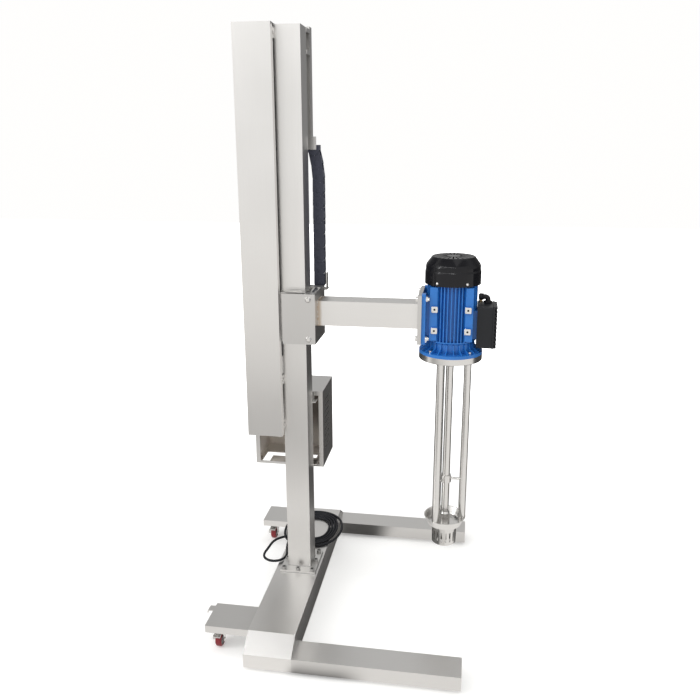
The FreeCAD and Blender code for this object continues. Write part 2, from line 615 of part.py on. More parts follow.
def make_lift_drive():
    """Shelf on the column's back, gear motor below it and two blocks for the spindle."""
    back = "-1 * " + HALF_COLUMN
    axis_x = "-1 * drive_offset"
    shelf_end = "-1 * drive_offset - gearbox_side / 2"
    shelf = new_body("drive_mount")
    pad(shelf, "XZ_Plane", "shelf_profile", "-1 * shelf_width / 2", "shelf_width / 2",
        lambda sketch: polygon(sketch, (
            (back, "shelf_top - shelf_sheet"), (shelf_end, "shelf_top - shelf_sheet"),
            (shelf_end, "shelf_top"), (back + " - 6", "shelf_top"),
            (back + " - 6", "shelf_top + shelf_rise"), (back, "shelf_top + shelf_rise"),
        )))
    for name, sign in (("right", -1), ("left", 1)):
        near = "%d * shelf_width / 2" % sign
        far = "%d * (shelf_width / 2 - 5)" % sign
        low, high = (far, near) if sign > 0 else (near, far)
        pad(shelf, "XZ_Plane", "shelf_gusset_" + name, low, high,
            lambda sketch: polygon(sketch, (
                (back + " - 6", "shelf_top"), (shelf_end, "shelf_top"),
                (back + " - 6", "shelf_top + shelf_rise"),
            )))
    pocket(shelf, "XY_Plane", "shelf_hole", "shelf_top - shelf_sheet", "shelf_top",
           lambda sketch: circle(sketch, "coupling_radius", axis_x, "0"))
    keep("drive_mount", shelf)

    under = "shelf_top - shelf_sheet"
    motor_top = under + " - gearbox_height"
    gear = box("gearbox", (shelf_end, "gearbox_side / 2 - drive_offset - 12"),
               ("-1 * gearbox_side / 2", "gearbox_side / 2"), (motor_top, under))
    bore = rod("gearbox_bore", "z", "spigot_radius + running_gap", (axis_x, "0"),
               under + " - 14", under)
    motor = rod("drive_motor", "z", "drive_motor_radius", (axis_x, "0"),
                motor_top + " - drive_motor_length", motor_top)
    cap = rod("drive_motor_cap", "z", "drive_motor_radius - 4", (axis_x, "0"),
              motor_top + " - drive_motor_length - 6", motor_top + " - drive_motor_length")
    keep("lift_gearmotor", cut("lift_gearmotor", fuse("gear_blank", [gear, motor, cap]), bore))

    blocks = []
    for name in ("low", "high"):
        level = "bearing_" + name
        block = box("block_" + name, ("-1 * drive_offset - 28", back),
                    ("-1 * bearing_width / 2", "bearing_width / 2"),
                    (level, level + " + bearing_height"))
        hole = rod("block_bore_" + name, "z", "spindle_radius + running_gap", (axis_x, "0"),
                   level, level + " + bearing_height")
        blocks.append(cut("bearing_block_" + name, block, hole))
    keep("screw_bearings", group("screw_bearings", blocks))

    spindle = new_body("lead_screw")
    collar = "bearing_low + bearing_height"
    revolve(spindle, "spindle_profile", (
        ("0", "spindle_bottom"), ("spindle_radius", "spindle_bottom"),
        ("spindle_radius", collar + " + 0.3"), ("spindle_radius + 4", collar + " + 0.3"),
        ("spindle_radius + 4", collar + " + 6"), ("spindle_radius", collar + " + 6"),
        ("spindle_radius", "spindle_top - 1.5"), ("spindle_radius - 1.5", "spindle_top"),
        ("0", "spindle_top"),
    ))
    keep("lead_screw", spindle, axis_x)

    coupling = new_body("screw_coupling")
    revolve(coupling, "coupling_profile", (
        ("0", under + " - 12"), ("spigot_radius", under + " - 12"),
        ("spigot_radius", "coupling_bottom"), ("coupling_radius", "coupling_bottom"),
        ("coupling_radius", "coupling_top"), ("spindle_radius", "coupling_top"),
        ("spindle_radius", "spindle_bottom"), ("0", "spindle_bottom"),
    ))
    keep("screw_coupling", coupling, axis_x)


# ---- carriage --------------------------------------------------------------------------
def make_carriage_housing():
    """Sleeve open to the rear: a front wall, two side walls and four weld strips."""
    body = new_body("carriage_housing")
    side, side_in = "housing_width / 2", "housing_width / 2 - housing_wall"
    rear, front = "-1 * housing_rear", "housing_front"
    front_in = "housing_front - housing_wall"
    pad(body, "XY_Plane", "sleeve", "carriage_bottom", CARRIAGE_TOP,
        lambda sketch: polygon(sketch, (
            (rear, "-1 * " + side), (front, "-1 * " + side), (front, side), (rear, side),
            (rear, side_in), (front_in, side_in), (front_in, "-1 * (%s)" % side_in),
            (rear, "-1 * (%s)" % side_in),
        )))
    strip_rear = HALF_COLUMN + " + frame_gap"
    levels = (("low", "carriage_bottom", "carriage_bottom + housing_wall"),
              ("high", CARRIAGE_TOP + " - housing_wall", CARRIAGE_TOP))
    for name, low, high in levels:
        for hand, sign in (("right", -1), ("left", 1)):
            pad(body, "XY_Plane", "strip_%s_%s" % (name, hand), low, high,
                lambda sketch: rectangle(sketch, strip_rear, front_in,
                                         "%d * (%s)" % (sign, PLATE_OUT),
                                         "%d * (%s)" % (sign, side_in)))
    for name, level in (("low", ROLLER_LOW), ("high", ROLLER_HIGH)):
        pocket(body, "XZ_Plane", "sleeve_hole_" + name, "-1 * " + side, side,
               lambda sketch: circle(sketch, "roller_axle", ROLLER_X, level))
    keep("carriage_housing", body)


def make_carriage_frame():
    """Two inner plates that reach past the column, joined behind it by a nut plate."""
    body = new_body("carriage_frame")
    front_in = "housing_front - housing_wall"
    rear = "-1 * frame_rear"
    pad(body, "XY_Plane", "nut_plate", CROSS_LEVEL, CROSS_LEVEL + " + cross_plate",
        lambda sketch: rectangle(sketch, rear, "-1 * cross_front",
                                 "-1 * (%s)" % PLATE_OUT, PLATE_OUT))
    for name, low, high in (("left", PLATE_IN, PLATE_OUT),
                            ("right", "-1 * (%s)" % PLATE_OUT, "-1 * (%s)" % PLATE_IN)):
        pad(body, "XZ_Plane", "inner_plate_" + name, low, high,
            lambda sketch: polygon(sketch, (
                (rear, CROSS_LEVEL + " - 24"), ("-1 * cross_front", "carriage_bottom"),
                (front_in, "carriage_bottom"), (front_in, CARRIAGE_TOP),
                ("-1 * cross_front", CARRIAGE_TOP), (rear, CROSS_LEVEL + " + 36"),
            )))
    bar_front = "-1 * (%s + pad_clearance + frame_gap)" % HALF_COLUMN
    for name, low, high in (
            ("low", "carriage_bottom", "carriage_bottom + back_bar_height"),
            ("high", CARRIAGE_TOP + " - back_bar_height", CARRIAGE_TOP)):
        pad(body, "XY_Plane", "back_bar_" + name, low, high,
            lambda sketch: rectangle(sketch, bar_front + " - back_bar", bar_front,
                                     "-1 * (%s)" % PLATE_IN, PLATE_IN))
    pocket(body, "XY_Plane", "nut_hole", CROSS_LEVEL, CROSS_LEVEL + " + cross_plate",
           lambda sketch: circle(sketch, "nut_radius", "-1 * drive_offset", "0"))
    for name, level in (("low", ROLLER_LOW), ("high", ROLLER_HIGH)):
        pocket(body, "XZ_Plane", "plate_hole_" + name, "-1 * (%s)" % PLATE_OUT, PLATE_OUT,
               lambda sketch: circle(sketch, "roller_axle", ROLLER_X, level))
    keep("carriage_frame", body)

    pads = []
    for name, low in (("low", "carriage_bottom"), ("high", CARRIAGE_TOP + " - pad_height")):
        high = low + " + pad_height"
        for hand, y in (
                ("left", (HALF_COLUMN + " + pad_clearance", PLATE_IN)),
                ("right", ("-1 * (%s)" % PLATE_IN,
                           "-1 * (%s + pad_clearance)" % HALF_COLUMN))):
            pads.append(box("side_pad_%s_%s" % (name, hand),
                            ("-1 * pad_length / 2", "pad_length / 2"), y, (low, high)))
    for name, low in (("low", "carriage_bottom"),
                      ("high", CARRIAGE_TOP + " - back_bar_height")):
        pads.append(box("back_pad_" + name,
                        (bar_front, "-1 * (%s + pad_clearance)" % HALF_COLUMN),
                        ("-1 * pad_length / 2", "pad_length / 2"),
                        (low, low + " + back_bar_height")))
    keep("guide_pads", group("guide_pads", pads))


def make_rollers():
    """Two guide rollers that run on the column's front face, each on its own axle."""
    axles = []
    for name, level in (("upper", ROLLER_HIGH), ("lower", ROLLER_LOW)):
        shank = rod(name + "_axle_rod", "y", "roller_axle", (ROLLER_X, level),
                    "-1 * housing_width / 2", "housing_width / 2")
        heads = []
        for hand, sign in (("left", 1), ("right", -1)):
            head = doc.addObject("Part::Cone", "%s_axle_head_%s" % (name, hand))
            head.setExpression("Radius1", bound("axle_head_radius"))
            head.setExpression("Radius2", bound("axle_head_radius * 0.55"))
            head.setExpression("Height", bound("axle_head_height"))
            head.Placement = Placement(Vector(), Rotation(Vector(1, 0, 0), -90 * sign))
            set_place(head, ROLLER_X, "%d * housing_width / 2" % sign, level)
            heads.append(head)
        axles.append(fuse(name + "_axle", [shank] + heads))
        wheel = new_body(name + "_roller")
        half = PLATE_IN + " - 0.5"
        revolve(wheel, name + "_roller_profile", (
            ("roller_axle + running_gap", "-1 * (%s)" % half),
            ("roller_radius - 1", "-1 * (%s)" % half),
            ("roller_radius", "1 - (%s)" % half), ("roller_radius", half + " - 1"),
            ("roller_radius - 1", half), ("roller_axle + running_gap", half),
        ))
        wheel.Placement = Placement(Vector(), TURN["y"])
        keep(name + "_roller", wheel, ROLLER_X, "0", level)
    keep("roller_axles", group("roller_axles", axles))


def make_lift_nut():
    body = new_body("lift_nut")
    top = CROSS_LEVEL + " + cross_plate"
    bore = "spindle_radius + running_gap"
    revolve(body, "nut_profile", (
        (bore, top + " - nut_length"), ("nut_radius", top + " - nut_length"),
        ("nut_radius", top), ("nut_flange_radius", top),
        ("nut_flange_radius", top + " + nut_flange_height"),
        (bore, top + " + nut_flange_height"),
    ))
    keep("lift_nut", body, "-1 * drive_offset")


# ---- arm -------------------------------------------------------------------------------
def make_arm():
    body = new_body("arm")
    half, inner = "arm_side / 2", "arm_side / 2 - arm_wall"

    def tube(sketch):
        rectangle(sketch, "-1 * " + half, half, "arm_height - " + half, "arm_height + " + half)
        rectangle(sketch, "-1 * (%s)" % inner, inner,
                  "arm_height - (%s)" % inner, "arm_height + " + inner)

    pad(body, "YZ_Plane", "arm_tube", "housing_front", "arm_end", tube)
    keep("arm", body)

    plate = new_body("arm_end_plate")
    pad(plate, "YZ_Plane", "end_slab", "arm_end", "arm_end + end_plate",
        lambda sketch: rectangle(sketch, "-1 * end_width / 2", "end_width / 2",
                                 "end_centre - end_height / 2",
                                 "end_centre + end_height / 2"))

    def holes(sketch):
        for across, level in foot_spots():
            circle(sketch, "bolt_radius", across, level)

    pocket(plate, "YZ_Plane", "end_holes", "arm_end", "arm_end + end_plate", holes)
    keep("arm_end_plate", plate)


def foot_spots():
    """Hole centres of the motor's feet."""
    high = "foot_hole_height + foot_along"
    spots = []
    for across in ("-1 * foot_across / 2", "foot_across / 2"):
        for level in ("foot_hole_height", high):
            spots.append((across, level))
    return spots


def make_motor_bolts():
    """Foot bolts with dome nuts, and the screws that hold the flange to the disc."""
    bolts = []
    foot_face = "arm_end + end_plate + foot_plate"
    for number, spot in enumerate(foot_spots(), start=1):
        tag = "foot_bolt_%d" % number
        bolts.append(fuse(tag, [
            rod(tag + "_shank", "x", "bolt_radius", spot, "arm_end", foot_face),
            rod(tag + "_head", "x", "bolt_head_radius + 1", spot, "arm_end - 7", "arm_end"),
            rod(tag + "_nut", "x", "bolt_head_radius + 1", spot, foot_face, foot_face + " + 6"),
            rod(tag + "_dome", "x", "bolt_radius + 1", spot, foot_face + " + 6",
                foot_face + " + 11"),
        ]))
    top = "motor_height + flange_thick"
    for number in range(4):
        turn = 45 + 90 * number
        spot = ("%s + flange_bolts * cos(%d)" % (MOTOR_X, turn),
                "flange_bolts * sin(%d)" % turn)
        tag = "flange_bolt_%d" % (number + 1)
        bolts.append(fuse(tag, [
            rod(tag + "_shank", "z", "bolt_radius", spot, DISC_BOTTOM, top),
            rod(tag + "_head", "z", "bolt_head_radius", spot, top, top + " + 6.5"),
        ]))
    keep("motor_bolts", group("motor_bolts", bolts))


# ---- motor -----------------------------------------------------------------------------
def make_motor_frame():
    """Finned barrel round the rotor, two foot rails, and bosses beside the front fins."""
    body = new_body("motor_frame")
    low = "motor_height + shield_height"

    def barrel(sketch):
        circle(sketch, "core_radius")
        circle(sketch, "bore_radius")

    pad(body, "XY_Plane", "barrel", low, "core_top", barrel)

    def rear_plate(sketch):
        circle(sketch, "fin_radius - 2")
        circle(sketch, "motor_shaft + running_gap")

    pad(body, "XY_Plane", "rear_plate", "core_top", "core_top + rear_shield", rear_plate)
    fin = pad(body, "XY_Plane", "fin", low, "core_top",
              lambda sketch: rectangle(sketch, "core_radius - 1", "fin_radius",
                                       "-1 * fin_thick / 2", "fin_thick / 2"))
    around(body, "fins", fin, "fin_count")
    for name, sign in (("front", -1), ("rear", 1)):
        for hand, along in (("left", "-1"), ("right", "1")):
            pad(body, "XY_Plane", "rail_%s_%s" % (name, hand), low + " + 4", "core_top - 4",
                lambda sketch: rectangle(sketch, along + " * rail_inner",
                                         along + " * rail_outer",
                                         "%d * rail_near" % sign, "%d * rail_far" % sign))
            for height in ("boss_low", "boss_high"):
                pad(body, "XY_Plane", "%s_%s_%s" % (height, name, hand),
                    height + " - boss_height / 2", height + " + boss_height / 2",
                    lambda sketch: rectangle(sketch, along + " * boss_inner",
                                             along + " * boss_outer",
                                             "%d * boss_near" % sign,
                                             "%d * boss_far" % sign))
    foot_low = "end_centre - end_height / 2"
    foot_high = "end_centre + end_height / 2 + 4"
    for hand, sign in (("right", -1), ("left", 1)):
        inside = "%d * (foot_across / 2 - foot_rail / 2)" % sign
        outside = "%d * (foot_across / 2 + foot_rail / 2 - 3)" % sign
        pad(body, "XY_Plane", "foot_" + hand, foot_low, foot_high,
            lambda sketch: rectangle(sketch, "-1 * shaft_height", "foot_plate - shaft_height",
                                     inside, outside))
        pad(body, "XY_Plane", "web_" + hand, foot_low + " + 10", foot_high + " - 10",
            lambda sketch: rectangle(sketch, "foot_plate - shaft_height - 1", "-36",
                                     "%d * 50" % sign, "%d * 57" % sign))
    for number, (across, level) in enumerate(foot_spots(), start=1):
        pocket(body, "YZ_Plane", "foot_hole_%d" % number, "-1 * shaft_height",
               "foot_plate - shaft_height",
               lambda sketch: circle(sketch, "bolt_radius", across, level))
    pad(body, "XY_Plane", "box_pedestal", "box_bottom + 26", "box_bottom + box_height - 16",
        lambda sketch: rectangle(sketch, "core_radius - 8", "box_seat", "-34", "34"))
    keep("motor_frame", body, MOTOR_X)


def make_motor_flange():
    """Mounting flange with a ribbed cone up to the barrel."""
    body = new_body("motor_flange")
    plate = "motor_height + flange_thick"
    top = "motor_height + shield_height"
    bore = "motor_shaft + running_gap"
    revolve(body, "flange_profile", (
        (bore, "motor_height"), ("flange_radius", "motor_height"), ("flange_radius", plate),
        ("shield_radius", plate), ("shield_radius", top + " - 8"),
        ("fin_radius", top + " - 3"), ("fin_radius", top), (bore, top),
    ))
    rib = body.newObject("PartDesign::Pad", "rib")
    sketch = sketch_at(body, "XZ_Plane", "rib_outline", "1.5")
    polygon(sketch, (("shield_radius - 2", plate), ("rib_radius", plate),
                     ("rib_radius", plate + " + 3"), ("shield_radius + 7", plate + " + 13"),
                     ("shield_radius + 4", top + " - 8"),
                     ("shield_radius - 2", top + " - 8")))
    rib.Profile = sketch
    rib.Length = 3
    doc.recompute()
    around(body, "ribs", rib, "rib_count")
    for number in range(4):
        turn = 37.5 + 90 * number
        pocket(body, "XY_Plane", "flange_hole_%d" % (number + 1), "motor_height", plate,
               lambda sketch: circle(sketch, "bolt_radius",
                                     "flange_bolts * cos(%s)" % turn,
                                     "flange_bolts * sin(%s)" % turn))
    body.Placement = Placement(Vector(), Rotation(Vector(0, 0, 1), 7.5))
    keep("motor_flange", body, MOTOR_X)


def make_fan_cowl():
    """Pressed cowl: band, upper wall, sloped shoulder and a slotted top."""
    body = new_body("fan_cowl")
    band, upper = "cowl_radius", "cowl_radius - cowl_step"
    step, shoulder = "core_top + cowl_band", "core_top + cowl_shoulder"
    inner_top = COWL_TOP + " - cowl_sheet"
    revolve(body, "cowl_profile", (
        ("0", inner_top), ("cowl_flat - 1", inner_top),
        (upper + " - cowl_sheet", shoulder + " - 1"), (upper + " - cowl_sheet", "core_top"),
        (band, "core_top"), (band, step), (upper, step + " + 2"), (upper, shoulder),
        ("cowl_flat", COWL_TOP), ("0", COWL_TOP),
    ))
    slot = pocket(body, "XY_Plane", "grille_cut", inner_top, COWL_TOP,
                  lambda sketch: rectangle(sketch, "grille_inner", "grille_outer",
                                           "-1 * grille_slot / 2", "grille_slot / 2"))
    around(body, "grille", slot, "grille_count")
    lug = pad(body, "XY_Plane", "cowl_lug", "core_top", "core_top + rear_shield",
              lambda sketch: rectangle(sketch, "fin_radius - 1.9",
                                       upper + " - cowl_sheet + 1", "-7", "7"))
    around(body, "cowl_lugs", lug, "4")
    keep("fan_cowl", body, MOTOR_X)


def make_fan():
    body = new_body("cooling_fan")
    low = "core_top + rear_shield + 8"
    high = low + " + fan_height"

    def hub(sketch):
        circle(sketch, "motor_shaft + 7")
        circle(sketch, "motor_shaft")

    def web(sketch):
        circle(sketch, "fan_radius - 4")
        circle(sketch, "motor_shaft")

    pad(body, "XY_Plane", "fan_hub", low, high, hub)
    pad(body, "XY_Plane", "fan_web", low, low + " + 3", web)
    blade = pad(body, "XY_Plane", "fan_blade", low, high,
                lambda sketch: rectangle(sketch, "motor_shaft + 6", "fan_radius", "-1.5", "1.5"))
    around(body, "fan_blade_ring", blade, "fan_blades")
    keep("cooling_fan", body, MOTOR_X)

    rotor = new_body("motor_rotor")
    core_low = "motor_height + shield_height + 28"
    core_high = "core_top - 40"
    core = "bore_radius - rotor_gap"
    top = high + " - 2"
    revolve(rotor, "rotor_profile", (
        ("0", "motor_height - 4"), ("motor_shaft", "motor_height - 4"),
        ("motor_shaft", core_low), (core, core_low), (core, core_high),
        ("motor_shaft", core_high), ("motor_shaft", top), ("0", top),
    ))
    keep("motor_rotor", rotor, MOTOR_X)


def make_terminal_box():
    left = MOTOR_X + " + box_seat"
    right = left + " + box_depth"
    half = "box_width / 2"
    body = new_body("terminal_box")
    pad(body, "YZ_Plane", "terminal_walls", left, right,
        lambda sketch: rectangle(sketch, "-1 * " + half, half, "box_bottom",
                                 "box_bottom + box_height"))
    round_edges(body, "terminal_rounds", 6, lambda edge: along_x(edge))
    keep("terminal_box", body)

    lid = new_body("terminal_box_lid")
    pad(lid, "YZ_Plane", "lid_slab", right, right + " + lid_depth",
        lambda sketch: rectangle(sketch, "-1 * %s - lid_rim" % half, half + " + lid_rim",
                                 "box_bottom - lid_rim",
                                 "box_bottom + box_height + lid_rim"))
    round_edges(lid, "lid_rounds", 7, lambda edge: along_x(edge))
    groove = pocket(lid, "YZ_Plane", "lid_cut", right + " + lid_depth - lid_groove",
                    right + " + lid_depth",
                    lambda sketch: rectangle(sketch, "-1 * %s - lid_rim - 1" % half,
                                             half + " + lid_rim + 1",
                                             "box_bottom + 11", "box_bottom + 16.5"))
    along_axis(lid, "lid_grooves", groove, "Z_Axis", "box_height - 27", "9")
    keep("terminal_box_lid", lid)

    top = "box_bottom + box_height"
    leg_x = right + " - 15"
    level = top + " + gland_rise"
    nut = doc.addObject("Part::Prism", "gland_nut")
    nut.Polygon = 6
    nut.setExpression("Circumradius", bound("gland_radius + 3.5"))
    nut.setExpression("Height", "7 mm")
    set_place(nut, leg_x, "gland_y", top)
    bend = doc.addObject("Part::Sphere", "gland_bend")
    bend.setExpression("Radius", bound("gland_radius"))
    set_place(bend, leg_x, "gland_y", level)
    elbow = fuse("elbow_gland", [
        nut, bend, rod("gland_leg", "z", "gland_radius", (leg_x, "gland_y"), top, level),
        rod("gland_arm", "x", "gland_radius", ("gland_y", level),
            leg_x + " - gland_reach + 13", leg_x),
        rod("gland_collar", "x", "gland_radius + 2.5", ("gland_y", level),
            leg_x + " - gland_reach", leg_x + " - gland_reach + 13"),
    ])
    plug = fuse("blank_plug", [
        rod("blank_plug_flange", "z", "7", (left + " + 9", "box_width / 2 - 10"), top,
            top + " + 2.5"),
        rod("blank_plug_head", "z", "5", (left + " + 9", "box_width / 2 - 10"),
            top + " + 2.5", top + " + 6"),
    ])
    keep("cable_glands", group("cable_glands", [elbow, plug]))


def along_x(edge):
    """True for a straight edge along X."""
    ends = [vertex.Point for vertex in edge.Vertexes]
    if len(ends) != 2:
        return False
    return abs(ends[0].y - ends[1].y) < 1e-6 and abs(ends[0].z - ends[1].z) < 1e-6


def round_edges(body, name, radius, test):
    base = body.Tip
    fillet = body.newObject("PartDesign::Fillet", name)
    fillet.Base = (base, edges_where(base.Shape, test))
    fillet.Radius = radius
    doc.recompute()
    return fillet


# ---- mixing head -----------------------------------------------------------------------
def make_mounting_disc():
    body = new_body("mounting_disc")
    revolve(body, "disc_profile", (
        ("shaft_radius + running_gap", DISC_BOTTOM), ("flange_radius - 1.5", DISC_BOTTOM),
        ("flange_radius", DISC_BOTTOM + " + 1.5"), ("flange_radius", "motor_height"),
        ("shaft_radius + running_gap", "motor_height"),
    ))
    for number in range(4):
        turn = 45 + 90 * number
        pocket(body, "XY_Plane", "disc_hole_%d" % (number + 1), DISC_BOTTOM, "motor_height",
               lambda sketch: circle(sketch, "bolt_radius", "flange_bolts * cos(%d)" % turn,
                                     "flange_bolts * sin(%d)" % turn))
    keep("mounting_disc", body, MOTOR_X)

    seal = new_body("seal_housing")
    revolve(seal, "seal_profile", (
        ("shaft_radius + running_gap", DISC_BOTTOM + " - seal_height"),
        ("seal_radius - 4", DISC_BOTTOM + " - seal_height"),
        ("seal_radius", DISC_BOTTOM + " - seal_height + 4"),
        ("seal_radius", DISC_BOTTOM), ("shaft_radius + running_gap", DISC_BOTTOM),
    ))
    keep("seal_housing", seal, MOTOR_X)


def rod_spots():
    """Three rods, the first straight ahead of the arm."""
    return [("rod_circle * cos(%d)" % turn, "rod_circle * sin(%d)" % turn)
            for turn in (0, 120, 240)]


def make_rods_and_dish():
    """Rods end inside the sloping wall of the dish and are cut flush with its outside."""
    outside = new_body("rod_envelope")
    revolve(outside, "envelope_profile", (
        ("0", "dish_bottom + dish_wall"), ("dish_foot + (dish_rim - dish_foot)"
         " * dish_wall / (dish_top - dish_bottom)", "dish_bottom + dish_wall"),
        ("dish_rim", "dish_top"), ("flange_radius", "dish_top"),
        ("flange_radius", DISC_BOTTOM), ("0", DISC_BOTTOM),
    ))
    rods = []
    for number, spot in enumerate(rod_spots(), start=1):
        blank = rod("rod_blank_%d" % number, "z", "rod_radius", spot, "dish_bottom",
                    DISC_BOTTOM)
        trimmed = doc.addObject("Part::Common", "support_rod_%d" % number)
        trimmed.Base = blank
        trimmed.Tool = outside
        rods.append(trimmed)
    together = group("support_rods", rods)

    dish = new_body("dish_blank")
    floor = "dish_bottom + dish_wall"
    bore = "shaft_radius + running_gap"
    slope = "(dish_rim - dish_foot) / (dish_top - dish_bottom)"
    revolve(dish, "dish_profile", (
        (bore, "dish_bottom"), ("dish_foot", "dish_bottom"), ("dish_rim", "dish_top"),
        ("dish_rim - dish_wall", "dish_top"),
        ("dish_foot - dish_wall + dish_wall * " + slope, floor),
        ("hub_radius", floor), ("hub_radius", "hub_top - 6"), ("hub_radius - 4", "hub_top"),
        (bore, "hub_top"),
    ))
    tools = [rod("dish_hole_%d" % number, "z", "rod_radius", spot,
                 floor, "dish_top + 1") for number, spot in enumerate(rod_spots(), start=1)]
    keep("guide_dish", cut("guide_dish", dish, group("dish_holes", tools)), MOTOR_X)
    keep("support_rods", together, MOTOR_X)


def make_mid_spider():
    """Steady bearing on the shaft, tied to the three rods."""
    ring = rod("spider_ring", "z", "spider_radius", ("0", "0"), "spider_height",
               "spider_height + spider_length")
    arms = []
    for number, turn in enumerate((0, 120, 240), start=1):
        arm = doc.addObject("Part::Cylinder", "spider_arm_%d" % number)
        arm.setExpression("Radius", bound("spider_arm"))
        arm.setExpression("Height", bound("rod_circle"))
        spin = Rotation(Vector(0, 0, 1), turn).multiply(TURN["x"])
        arm.Placement = Placement(Vector(), spin)
        set_place(arm, "0", "0", "spider_height + spider_length / 2")
        arms.append(arm)
    blank = fuse("spider_blank", [ring] + arms)
    holes = [rod("spider_bore", "z", "shaft_radius + running_gap", ("0", "0"),
                 "spider_height", "spider_height + spider_length")]
    for number, spot in enumerate(rod_spots(), start=1):
        holes.append(rod("spider_rod_%d" % number, "z", "rod_radius", spot,
                         "spider_height", "spider_height + spider_length"))
    keep("mid_spider", cut("mid_spider", blank, group("spider_holes", holes)), MOTOR_X)


def make_stator():
    """Slotted cylinder, clamped under the dish, with a round inlet below."""
    body = new_body("stator")
    inner = "stator_radius - stator_wall"
    revolve(body, "stator_profile", (
        ("inlet_radius", "stator_bottom"), ("stator_radius - 5", "stator_bottom"),
        ("stator_radius", "stator_bottom + 5"),
        ("stator_radius", "dish_bottom - band_height"),
        ("band_radius", "dish_bottom - band_height"), ("band_radius", "dish_bottom"),
        (inner, "dish_bottom"), (inner, "stator_bottom + 7"),
        (inner + " - 3", "stator_bottom + 4"), ("inlet_radius", "stator_bottom + 4"),
    ))
    slot = pocket(body, "XY_Plane", "stator_cut", "slot_bottom", "slot_bottom + slot_height",
                  lambda sketch: rectangle(sketch, inner + " - 2", "stator_radius + 1",
                                           "-1 * slot_width / 2", "slot_width / 2"))
    around(body, "stator_slots", slot, "slot_count")
    keep("stator", body, MOTOR_X)


def make_shaft_and_rotor():
    shaft = new_body("mixer_shaft")
    revolve(shaft, "shaft_profile", (
        ("0", "shaft_end"), ("shaft_radius", "shaft_end"),
        ("shaft_radius", "motor_height - 4"), ("0", "motor_height - 4"),
    ))
    keep("mixer_shaft", shaft, MOTOR_X)

    head = new_body("rotor_head")
    revolve(head, "rotor_hub_profile", (
        ("0", "blade_bottom"), ("rotor_hub - 4", "blade_bottom"),
        ("rotor_hub", "blade_bottom + 4"), ("rotor_hub", "blade_bottom + blade_height"),
        ("shaft_radius", "blade_bottom + blade_height"), ("shaft_radius", "shaft_end"),
        ("0", "shaft_end"),
    ))
    tip = "stator_radius - stator_wall - head_gap"
    blade = pad(head, "XY_Plane", "rotor_blade", "blade_bottom + 2",
                "blade_bottom + blade_height",
                lambda sketch: polygon(sketch, (
                    ("rotor_hub - 3", "-1 * blade_thick / 2"),
                    (tip + " - 1", "blade_thick / 2"), (tip + " - 1", "1.5 * blade_thick"),
                    ("rotor_hub - 5", "blade_thick / 2"),
                )))
    around(head, "rotor_blades", blade, "blade_count")
    keep("rotor_head", head, MOTOR_X)


# ---- cable lane ------------------------------------------------------------------------
def make_cable_duct():
    """Closed duct beside the column's top, held off it above the carriage's travel."""
    right = "duct_left + duct_width"
    far = "lane_near + duct_depth"
    skin = box("duct_skin", ("duct_left", right), ("lane_near", far),
               ("duct_bottom", "duct_top"))
    hollow = box("duct_hollow", ("duct_left + duct_sheet", right + " - duct_sheet"),
                 ("lane_near + duct_sheet", far + " - duct_sheet"),
                 ("duct_bottom", "duct_top - duct_sheet"))
    pieces = [cut("duct_shell", skin, hollow)]
    for name, level in (("low", "duct_top - 82"), ("high", "duct_top - 20")):
        pieces.append(box("duct_arm_" + name, ("duct_left", right),
                          (HALF_COLUMN, "lane_near"), (level, level + " + 12")))
    pieces.append(box("chain_hanger", ("duct_left + duct_width / 2", "chain_x - 3"),
                      ("lane_near - 3", "lane_near"), ("duct_bottom - 14", "duct_bottom + 26")))
    keep("cable_duct", fuse("cable_duct", pieces))


def chain_pivots():
    """Pivot line from the carriage's shelf up to the duct, leaning out near the top."""
    radius = value("chain_height") / 2
    shelf_top = value(CARRIAGE_TOP) - 13
    spots = [Vector(value("chain_x"), 0, shelf_top + radius)]
    count = int(value("chain_links"))
    lean = [0.0] * count
    lean[-1] = -1.0 * value("chain_lean")
    lean[-2] = -0.5 * value("chain_lean")
    for angle in lean:
        turn = math.radians(angle)
        step = Vector(math.sin(turn), 0, math.cos(turn)).multiply(value("chain_pitch"))
        spots.append(spots[-1].add(step))
    return spots


def chain_link(pitch, radius, gap, width, wall):
    """Link whose lower end is round and whose upper end is hollowed for its neighbour."""
    low = Vector(0, 0, 0)
    high = Vector(0, 0, pitch)
    reach = math.sqrt(max((radius + gap) ** 2 - radius ** 2, 0.01)) + gap
    left, right = Vector(-radius, 0, 0), Vector(radius, 0, 0)
    left_top = Vector(-radius, 0, pitch - reach)
    right_top = Vector(radius, 0, pitch - reach)
    bowl = Part.Arc(right_top, Vector(0, 0, pitch - radius - gap), left_top)
    nose = Part.Arc(left, Vector(0, 0, -radius), right)
    wire = Part.Wire([nose.toShape(), Part.makeLine(right, right_top), bowl.toShape(),
                      Part.makeLine(left_top, left)])
    solid = Part.Face(wire).extrude(Vector(0, width, 0))
    solid.translate(Vector(0, -width / 2, 0))
    room = Part.makeBox(2 * (radius - 3 * wall), width - 2 * wall, pitch + 4 * radius,
                        Vector(3 * wall - radius, wall - width / 2, -2 * radius))
    return solid.cut(room)


def chain_end(radius, top, width, wall):
    """End piece of the chain: round below, flat above, with one cheek out to the duct."""
    left, right = Vector(-radius, 0, 0), Vector(radius, 0, 0)
    nose = Part.Arc(left, Vector(0, 0, -radius), right)
    wire = Part.Wire([nose.toShape(), Part.makeLine(right, Vector(radius, 0, top)),
                      Part.makeLine(Vector(radius, 0, top), Vector(-radius, 0, top)),
                      Part.makeLine(Vector(-radius, 0, top), left)])
    solid = Part.Face(wire).extrude(Vector(0, width + wall, 0))
    solid.translate(Vector(0, -width / 2 - wall, 0))
    room = Part.makeBox(2 * (radius - 3 * wall), width - 2 * wall, top + 2 * radius,
                        Vector(3 * wall - radius, wall - width / 2, -radius))
    return solid.cut(room)


